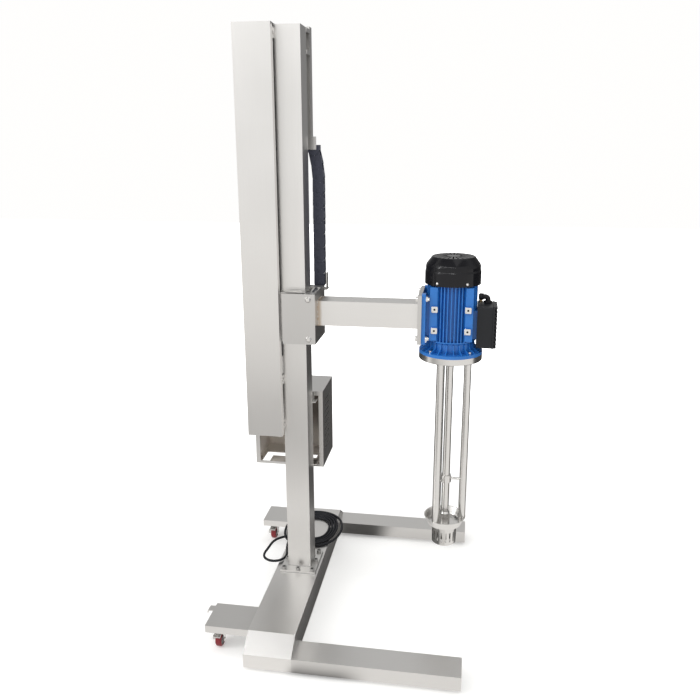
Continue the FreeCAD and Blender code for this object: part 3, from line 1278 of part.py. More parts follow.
def make_chain():
    """Drag chain of equal links hung from the duct, and the shelf that it ends on."""
    spots = chain_pivots()
    centre_y = value("lane_near") + value("chain_width") / 2 + 3
    radius = value("chain_height") / 2
    links = []
    for lower, upper in zip(spots[:-1], spots[1:]):
        link = chain_link(value("chain_pitch"), radius, value("chain_gap"),
                          value("chain_width"), value("chain_wall"))
        rise = upper.sub(lower)
        turn = Rotation(Vector(0, 1, 0), math.degrees(math.atan2(rise.x, rise.z)))
        link.Placement = Placement(Vector(lower.x, centre_y, lower.z), turn)
        links.append(link)
    end = chain_end(radius, value("duct_bottom") - spots[-1].z, value("chain_width"),
                    value("chain_wall"))
    end.Placement = Placement(Vector(spots[-1].x, centre_y, spots[-1].z), Rotation())
    links.append(end)
    keep("cable_chain", solid_feature("cable_chain", Part.makeCompound(links)))

    wall_y = "housing_width / 2"
    far = "lane_near + chain_width + 4"
    top = CARRIAGE_TOP + " - 13"
    right = "shelf_left + shelf_length"
    flange = box("bracket_flange", ("shelf_left", "shelf_left + 32"),
                 (wall_y, "lane_near + 3"), (top + " - 24", top))
    shelf = box("bracket_shelf", ("shelf_left", right), ("lane_near + 3", far),
                (top + " - shelf_plate", top))
    post = box("bracket_post", (right + " - shelf_plate", right),
               ("lane_near + 8", far + " - 8"), (top, top + " + post_height"))
    keep("chain_bracket", fuse("chain_bracket", [flange, shelf, post]))


# ---- control box -----------------------------------------------------------------------
def make_control_box():
    """Folded case with lips round its open back, louvres and a cable cut-out below."""
    body = new_body("control_box")
    left, right = "-1 * case_left", "case_right"
    left_in, right_in = "case_sheet - case_left", "case_right - case_sheet"
    low_in, high_in = "case_bottom + case_sheet", "case_top - case_sheet"
    pad(body, "XZ_Plane", "case_block", "case_near", "case_far",
        lambda sketch: rectangle(sketch, left, right, "case_bottom", "case_top"))
    pocket(body, "XZ_Plane", "case_hollow", "case_near + case_sheet",
           "case_far - case_sheet",
           lambda sketch: rectangle(sketch, left_in, right_in, low_in, high_in))
    pocket(body, "XZ_Plane", "case_back", "case_near", "case_near + case_sheet",
           lambda sketch: rectangle(sketch, left + " + case_lip", right + " - case_lip",
                                    "case_bottom + floor_lip", "case_top - case_lip"))
    pocket(body, "XY_Plane", "case_floor_cut", "case_bottom", low_in,
           lambda sketch: polygon(sketch, (
               ("-1 * cut_left", "case_near + 14"), ("28 - cut_left", "case_near + 14"),
               ("28 - cut_left", "case_near + 66"), ("cut_width - cut_left", "case_near + 66"),
               ("cut_width - cut_left", "case_near + 96"), ("-1 * cut_left", "case_near + 96"),
           )))
    middle = "(case_near + case_far) / 2 - 14"
    louvre = pocket(body, "YZ_Plane", "louvre", right_in, right,
                    lambda sketch: rectangle(sketch, middle + " - louvre_length / 2",
                                             middle + " + louvre_length / 2",
                                             "louvre_low", "louvre_low + louvre_height"))
    along_axis(body, "louvres", louvre, "Z_Axis", "louvre_pitch * (louvre_count - 1)",
               "louvre_count")
    panel = (("stop_hole", "stop_stem", "0"), ("switch_hole", "switch_stem", "1"),
             ("knob_hole", "knob_stem", "2"))
    for name, radius, place in panel:
        pocket(body, "XZ_Plane", name, "case_far - case_sheet", "case_far",
               lambda sketch: circle(sketch, radius + " + running_gap",
                                     "-1 * control_x",
                                     "control_high - %s * control_pitch" % place))
    keep("control_box", body)

    straps = []
    near, far = HALF_COLUMN, "case_near"
    places = (("low", "case_bottom + 1", "case_bottom + strap_height"),
              ("high", "case_top - 1", "case_top - strap_height"))
    for name, edge, shelf in places:
        up = "1" if name == "low" else "-1"
        fold = shelf + " + %s * strap_sheet" % up
        strap = new_body("strap_" + name)
        pad(strap, "YZ_Plane", "strap_fold_" + name, "-1 * strap_left", "strap_left",
            lambda sketch: polygon(sketch, (
                (far, edge), (far, fold), (near + " + strap_sheet", fold),
                (near + " + strap_sheet", fold + " + %s * 18" % up),
                (near, fold + " + %s * 18" % up), (near, shelf),
                (far + " - strap_sheet", shelf), (far + " - strap_sheet", edge),
            )))
        low, high = (shelf, fold) if name == "low" else (fold, shelf)
        pad(strap, "XY_Plane", "strap_wing_" + name, low, high,
            lambda sketch: rectangle(sketch, "strap_left", "strap_right", near, far))
        straps.append(strap)
    keep("control_box_mount", group("control_box_mount", straps))


def make_controls():
    """Stop button, lift switch and speed knob on the panel that faces +Y."""
    face = "case_far"
    axis_x = "-1 * control_x"
    inside = "case_sheet + 10"

    stop = new_body("emergency_stop")
    clear = "stop_travel + 2"
    revolve(stop, "stop_profile", (
        ("0", "-1 * (%s)" % inside), ("stop_stem", "-1 * (%s)" % inside),
        ("stop_stem", clear), ("stop_radius - 3", clear), ("stop_radius", clear + " + 4"),
        ("stop_radius", clear + " + 8"), ("stop_radius - 4", clear + " + 14"),
        ("stop_radius - 10", clear + " + 16"), ("0", clear + " + 16"),
    ))
    stop.Placement = Placement(Vector(), TURN["y"])
    keep("emergency_stop", stop, axis_x, face, "control_high")

    switch = new_body("lift_switch")
    revolve(switch, "switch_profile", (
        ("0", "-1 * (%s)" % inside), ("switch_stem", "-1 * (%s)" % inside),
        ("switch_stem", "0.3"), ("switch_radius", "0.3"), ("switch_radius", "4"),
        ("switch_radius - 2", "6"), ("0", "6"),
    ))
    pad(switch, "XY_Plane", "switch_grip", "5", "16",
        lambda sketch: rectangle(sketch, "-3.5", "3.5", "3 - switch_radius",
                                 "switch_radius - 3"))
    switch.Placement = Placement(Vector(), TURN["y"])
    keep("lift_switch", switch, axis_x, face, "control_high - control_pitch")

    knob = new_body("speed_knob")
    revolve(knob, "knob_profile", (
        ("0", "-1 * (%s)" % inside), ("knob_stem", "-1 * (%s)" % inside),
        ("knob_stem", "0.3"), ("knob_radius", "0.3"), ("knob_radius", "4"),
        ("knob_radius - 3", "6"), ("knob_radius - 4", "17"), ("knob_radius - 6", "18"),
        ("0", "18"),
    ))
    mark = pocket(knob, "XY_Plane", "knob_flute", "6", "18",
                  lambda sketch: circle(sketch, "2.2", "knob_radius - 2.5", "0"))
    around(knob, "knob_flutes", mark, "12")
    knob.Placement = Placement(Vector(), TURN["y"])
    keep("speed_knob", knob, axis_x, face, "control_high - 2 * control_pitch")


# ---- power cord ------------------------------------------------------------------------
def cord_tube(points, radius):
    """Straight runs joined by tangent arcs; prints the arcs' radii."""
    edges, radii, length = [], [], 0.0
    last = points[0]
    for before, corner, after in zip(points[:-2], points[1:-1], points[2:]):
        back, on = before.sub(corner), after.sub(corner)
        shorter = min(back.Length, on.Length)
        half_turn = (math.pi - back.getAngle(on)) / 2
        trim = 0.45 * shorter
        arc_radius = trim / math.tan(half_turn)
        radii.append(arc_radius)
        back.normalize()
        on.normalize()
        start = corner.add(Vector(back).multiply(trim))
        end = corner.add(Vector(on).multiply(trim))
        inward = back.add(on)
        inward.normalize()
        depth = arc_radius / math.cos(half_turn) - arc_radius
        edges.append(Part.LineSegment(last, start).toShape())
        edges.append(Part.Arc(start, corner.add(inward.multiply(depth)), end).toShape())
        length += (start - last).Length + 2 * half_turn * arc_radius
        last = end
    edges.append(Part.LineSegment(last, points[-1]).toShape())
    length += (points[-1] - last).Length
    path = Part.Wire(edges)
    heading = points[1].sub(points[0])
    ring = Part.Wire([Part.makeCircle(radius, points[0], heading)])
    tube = path.makePipeShell([ring], True, True)
    ratio = tube.Volume / (math.pi * radius ** 2 * length)
    print("cord radii", [round(r, 1) for r in radii], "volume ratio %.4f" % ratio,
          "length %.1f" % length)
    return tube


def stadium(radius, straight, level):
    """Closed outline of two half circles joined along Y."""
    half = straight / 2
    far = Part.Arc(Vector(radius, half, level), Vector(0, half + radius, level),
                   Vector(-radius, half, level))
    near = Part.Arc(Vector(-radius, -half, level), Vector(0, -half - radius, level),
                    Vector(radius, -half, level))
    left = Part.makeLine(Vector(-radius, half, level), Vector(-radius, -half, level))
    right = Part.makeLine(Vector(radius, -half, level), Vector(radius, half, level))
    return Part.Wire([far.toShape(), left, near.toShape(), right])


def make_cord():
    """Cord from the gland into a flat coil on the beam, then round a loop to its plug."""
    thick = value("cord_radius")
    top = value("beam_top")
    half = value(HALF_COLUMN)
    height = value("coil_height")
    coil_x, coil_y = value("coil_x"), value("coil_y")
    straight = value("coil_straight")
    level = top + height / 2

    rise = Vector(0, 0, height)
    outside = Part.Face(stadium(value("coil_outer"), straight, top)).extrude(rise)
    inside = Part.Face(stadium(value("coil_inner"), straight, top)).extrude(rise)
    coil = outside.cut(inside).Solids[0]
    rims = [edge for edge in coil.Edges
            if abs(edge.Vertexes[0].Z - edge.Vertexes[-1].Z) < 1e-6]
    coil = coil.makeFillet(6, rims)
    coil.translate(Vector(coil_x, coil_y, 0))
    keep("cord_coil", solid_feature("cord_coil", coil))

    gland_x, gland_z = value("cord_gland_x"), value("cord_gland_height")
    nut = Part.makeCylinder(11, 10, Vector(gland_x, half, gland_z), Vector(0, 1, 0))
    cap = Part.makeCone(9, 6.5, 14, Vector(gland_x, half + 10, gland_z), Vector(0, 1, 0))
    gland = nut.fuse(cap)
    hole = Part.makeCylinder(thick, 14, Vector(gland_x, half + 10, gland_z), Vector(0, 1, 0))
    keep("cord_gland", solid_feature("cord_gland", gland.cut(hole)))

    lead = cord_tube([
        Vector(gland_x, half + 10, gland_z), Vector(gland_x, half + 38, gland_z),
        Vector(gland_x + 4, half + 68, level),
    ], thick)

    plug_x, plug_y = value("plug_x"), value("plug_y")
    plug_z = top + height + value("plug_radius") + 0.3
    low = top + thick + 3
    loop = cord_tube([
        Vector(coil_x - 55, coil_y - 100, level), Vector(coil_x - 86, coil_y - 90, level),
        Vector(coil_x - 113, coil_y - 103, low + 1), Vector(coil_x - 127, coil_y - 132, low),
        Vector(coil_x - 129, coil_y - 172, low), Vector(coil_x - 130, coil_y - 208, low),
        Vector(coil_x - 119, coil_y - 237, low), Vector(coil_x - 95, coil_y - 249, low),
        Vector(coil_x - 71, coil_y - 240, low), Vector(coil_x - 61, coil_y - 213, low),
        Vector(coil_x - 66, coil_y - 172, low + 5),
        Vector(coil_x - 72, coil_y - 134, plug_z - 12), Vector(plug_x, plug_y, plug_z),
    ], thick)
    runs = [lead.cut(coil), loop.cut(coil)]
    run_solids = [max(run.Solids, key=lambda piece: piece.Volume) for run in runs]
    keep("power_cord", solid_feature("power_cord", Part.makeCompound(run_solids)))

    heading = Vector(plug_x, plug_y, plug_z).sub(
        Vector(coil_x - 72, coil_y - 134, plug_z - 12))
    radius, length = value("plug_radius"), value("plug_length")
    body = Part.makeCylinder(radius, length)
    for across, up in ((-7, 3), (7, 3), (0, -6)):
        pin = Part.makeBox(1.6, 6.3, value("pin_length"),
                           Vector(up - 0.8, across - 3.15, length))
        body = body.fuse(pin)
    body.Placement = Placement(Vector(plug_x, plug_y, plug_z),
                               Rotation(Vector(0, 0, 1), heading))
    keep("mains_plug", solid_feature("mains_plug", body))


make_crossbeam()
make_leg("right_leg", -1)
make_leg("left_leg", 1)
make_outrigger("right_outrigger", -1)
make_outrigger("left_outrigger", 1)
make_floor_feet()
make_base_plate()
make_column()
make_caster("right", -1)
make_caster("left", 1)
make_rear_cover()
make_lift_drive()
make_carriage_housing()
make_carriage_frame()
make_rollers()
make_lift_nut()
make_arm()
make_motor_bolts()
make_motor_frame()
make_motor_flange()
make_fan_cowl()
make_fan()
make_terminal_box()
make_mounting_disc()
make_rods_and_dish()
make_mid_spider()
make_stator()
make_shaft_and_rotor()
make_cable_duct()
make_chain()
make_control_box()
make_controls()
make_cord()
doc.recompute()

for item in doc.Objects:
    if "Invalid" in item.State or "Error" in item.State:
        raise RuntimeError("object %s failed: %s" % (item.Name, item.State))
for label, item in parts.items():
    if item.Shape.isNull() or not item.Shape.isValid():
        raise RuntimeError("sub-part %s has no valid shape" % label)

os.makedirs("parts", exist_ok=True)
for label, item in parts.items():
    item.Shape.exportStep("parts/%s.step" % label)
    print("%-20s solids %2d faces %3d" % (label, len(item.Shape.Solids), len(item.Shape.Faces)))
print("sub-parts", len(parts))
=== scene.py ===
import math

import bpy
import numpy as np
from mathutils import Matrix, Vector


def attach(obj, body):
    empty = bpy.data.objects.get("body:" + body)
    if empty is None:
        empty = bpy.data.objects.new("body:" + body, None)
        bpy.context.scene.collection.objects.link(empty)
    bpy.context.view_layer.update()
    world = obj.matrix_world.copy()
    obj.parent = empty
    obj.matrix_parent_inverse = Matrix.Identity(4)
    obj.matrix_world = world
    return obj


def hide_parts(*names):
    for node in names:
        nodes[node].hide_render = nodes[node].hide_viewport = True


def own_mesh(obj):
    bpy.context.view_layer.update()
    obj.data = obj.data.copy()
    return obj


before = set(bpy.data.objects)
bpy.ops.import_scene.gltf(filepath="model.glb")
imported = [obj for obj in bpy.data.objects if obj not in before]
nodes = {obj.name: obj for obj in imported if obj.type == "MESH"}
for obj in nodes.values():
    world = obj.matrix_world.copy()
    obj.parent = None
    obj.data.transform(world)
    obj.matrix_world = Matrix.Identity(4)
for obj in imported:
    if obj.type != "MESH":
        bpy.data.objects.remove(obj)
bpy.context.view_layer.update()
bpy.context.scene.view_settings.view_transform = "Standard"

# Lengths below are millimetres measured from the column's own axis; the frame's origin lies
# MIDDLE further along X.
MIDDLE = 198.0
MOTOR_X = 502.0


def place(points):
    """Column millimetres to frame metres: MIDDLE is subtracted from x, then all is divided
    by 1000."""
    moved = np.array(points, float)
    moved[..., 0] -= MIDDLE
    return moved / 1000.0


# ---- camera ----------------------------------------------------------------------------
CAMERA_PLACE = (0.35141, -2.28661, 1.55422)
CAMERA_AZIMUTH, CAMERA_PITCH, CAMERA_ROLL = 9.25, 15.79, -0.16
CAMERA_LENS, SENSOR_WIDTH = 37.9, 36


def make_camera():
    """Looks along +Y, turned CAMERA_AZIMUTH degrees to the left, CAMERA_PITCH degrees down
    and rolled by CAMERA_ROLL."""
    azimuth, pitch, roll = (math.radians(a) for a in (CAMERA_AZIMUTH, CAMERA_PITCH,
                                                      CAMERA_ROLL))
    look = Vector((-math.sin(azimuth) * math.cos(pitch),
                   math.cos(azimuth) * math.cos(pitch), -math.sin(pitch)))
    right = Vector((math.cos(azimuth), math.sin(azimuth), 0))
    up = right.cross(look)
    right_turned = math.cos(roll) * right + math.sin(roll) * up
    up_turned = math.cos(roll) * up - math.sin(roll) * right
    camera = bpy.data.objects.new("camera", bpy.data.cameras.new("camera"))
    bpy.context.collection.objects.link(camera)
    turn = Matrix((right_turned, up_turned, -look)).transposed()
    camera.matrix_world = Matrix.LocRotScale(Vector(CAMERA_PLACE), turn, None)
    camera.data.sensor_width = SENSOR_WIDTH
    camera.data.lens = CAMERA_LENS
    bpy.context.scene.camera = camera


# ---- shader maths ----------------------------------------------------------------------
class Value:
    """A socket that can be reckoned with: each operator that is used adds its Math node."""

    def __init__(self, tree, socket):
        self.tree = tree
        self.socket = socket

    def math(self, operation, first, second):
        """One Math node on two values, each a socket or a number."""
        return self.tree.add("ShaderNodeMath", {"operation": operation},
                             {0: first, 1: second})

    def __add__(self, other):
        return self.math("ADD", self, other)

    def __radd__(self, other):
        return self.math("ADD", other, self)

    def __sub__(self, other):
        return self.math("SUBTRACT", self, other)

    def __rsub__(self, other):
        return self.math("SUBTRACT", other, self)

    def __mul__(self, other):
        return self.math("MULTIPLY", self, other)

    def __rmul__(self, other):
        return self.math("MULTIPLY", other, self)

    def __pow__(self, other):
        return self.math("POWER", self, other)

    def __abs__(self):
        return self.math("ABSOLUTE", self, 0)

    def at_least(self, other):
        """The greater of the two."""
        return self.math("MAXIMUM", self, other)

    def at_most(self, other):
        """The lesser of the two."""
        return self.math("MINIMUM", self, other)

    def rise(self, low, high):
        """0 below low, 1 above high, and a smooth step between them."""
        return self.tree.add("ShaderNodeMapRange", {"interpolation_type": "SMOOTHSTEP"},
                             {"Value": self, "From Min": low, "From Max": high})

    def fall(self, low, high):
        """1 below low, 0 above high: one minus the rise."""
        return 1 - self.rise(low, high)


class Tree:
    """A node tree that is filled through one method."""

    def __init__(self, owner):
        owner.use_nodes = True
        self.nodes = owner.node_tree.nodes
        self.links = owner.node_tree.links
        self.nodes.clear()

    def add(self, kind, settings=(), inputs=(), output=0):
        """Adds one node, sets it, then gives its sockets their values or links."""
        node = self.nodes.new(kind)
        for name, setting in dict(settings).items():
            setattr(node, name, setting)
        for name, given in dict(inputs).items():
            if isinstance(given, Value):
                self.links.new(given.socket, node.inputs[name])
            elif isinstance(given, tuple) and len(given) == 3 and (
                    node.inputs[name].type == "RGBA"):
                node.inputs[name].default_value = (*given, 1)
            else:
                node.inputs[name].default_value = given
        return Value(self, node.outputs[output])

    def position(self):
        """The place on the object, in metres."""
        return self.add("ShaderNodeTexCoord", output="Object")

    def output_of(self, value, name):
        """Another output of the node that a value came from."""
        return Value(self, value.socket.node.outputs[name])

    def parts_of(self, vector):
        """The x, y and z of a vector."""
        first = self.add("ShaderNodeSeparateXYZ", (), {0: vector})
        node = first.socket.node
        return [Value(self, node.outputs[i]) for i in range(3)]

    def noise(self, vector, scale, detail=3.0, stretch=None, roughness=0.5):
        """Noise between 0 and 1; stretch gives a scale to each axis."""
        if stretch:
            vector = self.add("ShaderNodeMapping", (), {"Vector": vector, "Scale": stretch})
        return self.add("ShaderNodeTexNoise", (),
                        {"Vector": vector, "Scale": scale, "Detail": detail,
                         "Roughness": roughness})

    def mix(self, share, first, second, blend="MIX"):
        """A colour: first + share * (second - first), or what another blend makes of them."""
        node = self.nodes.new("ShaderNodeMix")
        node.data_type = "RGBA"
        node.blend_type = blend
        for index, given in ((0, share), (6, first), (7, second)):
            if isinstance(given, Value):
                self.links.new(given.socket, node.inputs[index])
            else:
                node.inputs[index].default_value = (*given, 1) if index else given
        return Value(self, node.outputs[2])

    def bump(self, height, distance, strength=1.0):
        """A normal from a height between 0 and 1, where 1 stands distance metres proud."""
        return self.add("ShaderNodeBump", (), {"Height": height, "Distance": distance,
                                               "Strength": strength})

    def surface(self, shader):
        """Makes a shader the material's surface."""
        output = self.nodes.new("ShaderNodeOutputMaterial")
        self.links.new(shader.socket, output.inputs["Surface"])


def finish(name, paint, settings=()):
    """A material on one Principled shader: paint(tree) gives its linked sockets."""
    material = bpy.data.materials.new(name)
    tree = Tree(material)
    inputs = dict(settings)
    inputs.update(paint(tree))
    tree.surface(tree.add("ShaderNodeBsdfPrincipled", (), inputs))
    return material


# ---- studio ----------------------------------------------------------------------------
MATT_LIGHT = 0.80


def make_world():
    """White to the camera and an even light of MATT_LIGHT on what is matt. Polished pieces see
    a room that is bright in front of the machine and half as bright behind it. Behind, it is
    dim to both sides and brighter high up. Where the lamps hang it is dim too, so that what
    mirrors a lamp stays under white."""
    world = bpy.data.worlds.new("studio")
    bpy.context.scene.world = world
    tree = Tree(world)
    direction = tree.add("ShaderNodeTexCoord", output="Generated")
    right, back, up = tree.parts_of(direction)
    corner = right.rise(0.02, 0.4) * back.rise(0.1, 0.6)
    edge = right.fall(-0.75, -0.3) * back.rise(-0.1, 0.4)
    above = abs(right).fall(0.15, 0.5) * back.rise(0.4, 0.8) * up.rise(0.3, 0.5)
    front_left = right.fall(-0.7, -0.4) * back.fall(-0.3, 0.0) * up.rise(-0.12, 0.04)
    lamps = front_left.at_least(up.rise(0.65, 0.85))
    room = (0.48 + 0.22 * above - 0.34 * corner - 0.34 * edge - 0.52 * lamps
            + 0.46 * back.fall(-0.75, 0.45) + 0.05 * up.rise(0.1, 0.9))
    path = tree.add("ShaderNodeLightPath", output="Is Camera Ray")
    mirrored = tree.output_of(path, "Is Glossy Ray").at_most(1 - path)
    through = tree.output_of(path, "Is Transmission Ray")
    white = path.at_least(through)
    strength = white + (1 - white) * (mirrored * room + (1 - mirrored) * MATT_LIGHT)
    light = tree.add("ShaderNodeBackground", (), {"Color": (1.0, 0.995, 0.985),
                                                  "Strength": strength})
    output = tree.nodes.new("ShaderNodeOutputWorld")
    tree.links.new(light.socket, output.inputs["Surface"])


FLOOR_HALF = 12.0


def make_floor():
    """A pale floor that keeps the machine's shadow and fades to white away from it. Polished
    pieces see a glowing painted reflection of it instead: bright, with painted shade beside
    the beam, behind the machine and out to both sides there, and a painted darker band in
    front that the column's lower half mirrors."""
    corners = [(-FLOOR_HALF, -FLOOR_HALF, 0), (FLOOR_HALF, -FLOOR_HALF, 0),
               (FLOOR_HALF, FLOOR_HALF, 0), (-FLOOR_HALF, FLOOR_HALF, 0)]
    mesh = bpy.data.meshes.new("floor")
    mesh.from_pydata(corners, [], [(0, 1, 2, 3)])
    floor = bpy.data.objects.new("floor", mesh)
    bpy.context.collection.objects.link(floor)
    material = bpy.data.materials.new("floor")
    tree = Tree(material)
    x, y, _ = tree.parts_of(tree.position())
    away = (x * x + y * y) ** 0.5
    seen = tree.add("ShaderNodeLightPath", output="Is Camera Ray")
    mirrored = tree.output_of(seen, "Is Glossy Ray")
    matt = tree.add("ShaderNodeBsdfDiffuse", (), {"Color": (0.86, 0.86, 0.85)})
    glow = seen * (0.26 + away.rise(0.9, 2.6))
    white = tree.add("ShaderNodeEmission", (), {"Color": (1.0, 1.0, 1.0), "Strength": glow})
    shown = tree.add("ShaderNodeAddShader", (), {0: matt, 1: white})
    # Painted shade in the mirrored floor: masks that darken it beside the beam, behind the
    # machine, to both sides and in a band in front.
    beside = x.rise(-0.16, -0.12) * x.fall(0.0, 0.12) * y.rise(-0.55, -0.45)
    apart = x.rise(0.50, 0.65).at_least(x.fall(-0.75, -0.50)) * y.rise(0.0, 0.25)
    dim = beside.at_least(y.rise(0.15, 0.75)).at_least(apart)
    middle = y.rise(-2.7, -1.8) * y.fall(-1.25, -0.8) * x.fall(-0.25, 0.15)
    level = 1.0 - 0.62 * middle - 0.93 * dim
    painted_reflection = tree.add("ShaderNodeEmission", (), {"Color": (1.0, 0.980, 0.955),
                                                "Strength": level})
    tree.surface(tree.add("ShaderNodeMixShader", (), {0: mirrored, 1: shown, 2: painted_reflection}))
    mesh.materials.append(material)


def make_lamp(name, position, target, size, power):
    """A rectangular area lamp at a place, in metres, turned to its target."""
    lamp = bpy.data.lights.new(name, "AREA")
    lamp.shape = "RECTANGLE"
    lamp.size, lamp.size_y = size
    lamp.energy = power
    item = bpy.data.objects.new(name, lamp)
    bpy.context.collection.objects.link(item)
    aim = Vector(target) - Vector(position)
    item.matrix_world = Matrix.LocRotScale(Vector(position), aim.to_track_quat("-Z", "Y"),
                                           None)


# ---- finishes --------------------------------------------------------------------------
def steel(name, grain_scale, tone=0.74, gloss=0.30, tint=None, metal=1.0):
    """Brushed stainless sheet: fine lines stretched along one axis, faint clouding. tint is a
    function of the tree, the spot and the colour that gives a new colour."""
    def paint(tree):
        spot = tree.position()
        lines = tree.noise(spot, 1.0, 4.0, grain_scale, 0.6)
        cloud = tree.noise(spot, 5.0, 3.0)
        blend = lines * 0.6 + cloud * 0.7 - 0.15
        colour = tree.mix(blend, (tone * 0.90, tone * 0.885, tone * 0.862),
                          (tone, tone * 0.988, tone * 0.968))
        if tint:
            colour = tint(tree, spot, colour)
        rough = gloss - 0.05 + 0.10 * lines + 0.06 * cloud
        return {"Base Color": colour, "Roughness": rough,
                "Normal": tree.bump(lines, 0.0001, 0.35)}
    return finish(name, paint, {"Metallic": metal})


# The control box's corners and the skin, within which its outer finish ends.
CASE_LOW, CASE_HIGH = (-179.0, 82.0, 439.0), (67.0, 262.0, 721.0)
SKIN_OUT, SKIN_IN = 0.8, 1.8


def inside_case(parts):
    """1 where |p - middle| is less than the control box's half size less SKIN_IN on all three
    axes, 0 where it is more than the half size less SKIN_OUT on one of them."""
    shares = []
    for part, low, high in zip(parts, place(CASE_LOW), place(CASE_HIGH)):
        middle, half = float(low + high) / 2, float(high - low) / 2
        shares.append(abs(part - middle).fall(half - SKIN_IN / 1000, half - SKIN_OUT / 1000))
    return shares[0] * shares[1] * shares[2]


def folded_case(name):
    """Brushed outside and a dull mill finish inside, painted pale to stand in for fill light,
    with painted shade where the drive unit hangs.
    """
    def paint(tree):
        spot = tree.position()
        x, y, z = tree.parts_of(spot)
        inside = inside_case((x, y, z))
        lines = tree.noise(spot, 1.0, 4.0, ALONG_Z, 0.6)
        cloud = tree.noise(spot, 5.0, 3.0)
        outer = tree.mix(lines * 0.6 + cloud * 0.7 - 0.15, (0.63, 0.62, 0.603),
                         (0.70, 0.692, 0.678))
        # Painted shade: the inside turns dark towards +X and higher up, where the drive unit
        # hangs; its pale colour is painted light.
        painted_shade = x.rise(-0.30, -0.24) * (0.35 + 0.65 * z.rise(0.46, 0.58))
        inner = tree.mix(painted_shade, (0.90, 0.85, 0.79), (0.20, 0.17, 0.15))
        return {"Base Color": tree.mix(inside, outer, inner),
                "Metallic": 1 - 0.75 * inside,
                "Roughness": 0.27 + 0.10 * lines + 0.06 * cloud + 0.25 * inside,
                "Normal": tree.bump(lines, 0.0001, 0.35)}
    return finish(name, paint)


# Scales of the brushing's noise: a low one draws the lines out along that axis.
ALONG_X = (6, 800, 800)
ALONG_Y = (800, 6, 800)
ALONG_Z = (800, 800, 6)
ROUND_Z = (3, 3, 900)


def yellow(tree, spot, colour):
    """Brass and bronze."""
    return tree.mix(1.0, colour, (0.95, 0.74, 0.42), "MULTIPLY")


def bead_heat(tree, spot, colour):
    """Brown patches along a weld bead."""
    wave = tree.noise(spot, 90.0, 2.0)
    return tree.mix(wave.rise(0.35, 0.65), colour, (0.46, 0.33, 0.22))


# The weld's tint on the arm fades out between these distances from the column's axis.
TINT_FULL, TINT_END = 88.0, 100.0


def arm_heat(tree, spot, colour):
    """A straw-brown tint where the arm is welded to the carriage."""
    x = tree.parts_of(spot)[0]
    wave = tree.noise(spot, 60.0, 2.0)
    share = (x + 0.008 * wave).fall((TINT_FULL - MIDDLE) / 1000, (TINT_END - MIDDLE) / 1000)
    share = 0.7 * share
    return tree.mix(share, colour, (0.50, 0.38, 0.26))


def paint_coat(name, colour, gloss=0.35, peel=0.15, coat=0.3, shine=0.35):
    """Sprayed enamel with faint clouding; peel is the strength of its orange peel."""
    def paint(tree):
        spot = tree.position()
        cloud = tree.noise(spot, 14.0, 4.0)
        fine = tree.noise(spot, 420.0, 2.0)
        dark = tuple(0.80 * c for c in colour)
        shade = tree.mix(cloud, dark, tuple(min(1.0, 1.12 * c + 0.004) for c in colour))
        return {"Base Color": shade, "Roughness": gloss - 0.06 + 0.14 * cloud,
                "Normal": tree.bump(fine, 0.0003, peel)}
    return finish(name, paint, {"Coat Weight": coat, "Coat Roughness": 0.18,
                                "Specular IOR Level": shine})


def moulded(name, colour, gloss=0.5, texture=900.0, depth=0.25):
    """Moulded plastic or rubber with a fine skin texture."""
    def paint(tree):
        spot = tree.position()
        cloud = tree.noise(spot, 25.0, 3.0)
        skin = tree.noise(spot, texture, 2.0)
        shade = tree.mix(cloud, tuple(0.78 * c for c in colour),
                         tuple(min(1.0, 1.15 * c + 0.003) for c in colour))
        return {"Base Color": shade, "Roughness": gloss - 0.06 + 0.12 * cloud,
                "Normal": tree.bump(skin, 0.0002, depth)}
    return finish(name, paint, {"Specular IOR Level": 0.30})


CASTER_Y, WHEEL_TRAIL, WHEEL_RADIUS = 339.0, 18.0, 25.0
# The grey sides end and the tyre begins between these distances from the axle.
RIM_LOW, RIM_HIGH = 18.6, 19.4


def two_tone(name):
    """A wheel: a dark red tyre over grey sides. The distance from the axle is the root of
    (|y + trail| - CASTER_Y)^2 + (z - radius)^2, which holds for both wheels."""
    def paint(tree):
        spot = tree.position()
        _, y, z = tree.parts_of(spot)
        fine = tree.noise(spot, 300.0, 3.0)
        ahead = abs(y + WHEEL_TRAIL / 1000) - CASTER_Y / 1000
        over = z - WHEEL_RADIUS / 1000
        away = (ahead * ahead + over * over) ** 0.5
        tyre = (away + 0.0004 * fine).rise(RIM_LOW / 1000, RIM_HIGH / 1000)
        shade = tree.mix(tyre, (0.27, 0.26, 0.26), (0.27, 0.022, 0.030))
        shade = tree.mix(0.3 * fine, shade, (0.05, 0.045, 0.045))
        return {"Base Color": shade, "Roughness": 0.42 + 0.12 * fine,
                "Normal": tree.bump(fine, 0.0002, 0.3)}
    return finish(name, paint, {"Specular IOR Level": 0.35})


def dress(node, material):
    """Gives a carried-over CAD node its finish."""
    for slot in nodes[node].material_slots:
        slot.material = material


def make_finishes():
    """Finishes that the pieces made here share with the carried-over nodes."""
    return {
        "cord": moulded("cord_rubber", (0.009, 0.010, 0.014), 0.45),
        "plug": moulded("plug_rubber", (0.012, 0.012, 0.016), 0.5),
        "gland": moulded("gland_black", (0.016, 0.016, 0.018)),
        "chain": moulded("chain_plastic", (0.058, 0.062, 0.088), 0.38),
        "bright": steel("bright_steel", (40, 40, 40), 0.80, 0.16),
        "bead": steel("weld_bead", (300, 300, 300), 0.58, 0.42),
        "tinted": steel("weld_tinted", (300, 300, 300), 0.60, 0.30, bead_heat),
        "milled": steel("milled_steel", (500, 20, 20), 0.82, 0.24),
        # Near-black for painted shade: in holes, sockets and behind the louvres.
        "dark": moulded("painted_shade_black", (0.006, 0.006, 0.007)),
        "cowl": paint_coat("cowl_black", (0.004, 0.004, 0.006), 0.12, 0.03, 0.0, 0.30),
        "box": moulded("box_black", (0.012, 0.013, 0.016), 0.40),
        "brass": steel("plug_pins", (30, 30, 30), 0.80, 0.20, yellow),
        "bronze": steel("nut_bronze", ROUND_Z, 0.70, 0.34, yellow),
    }


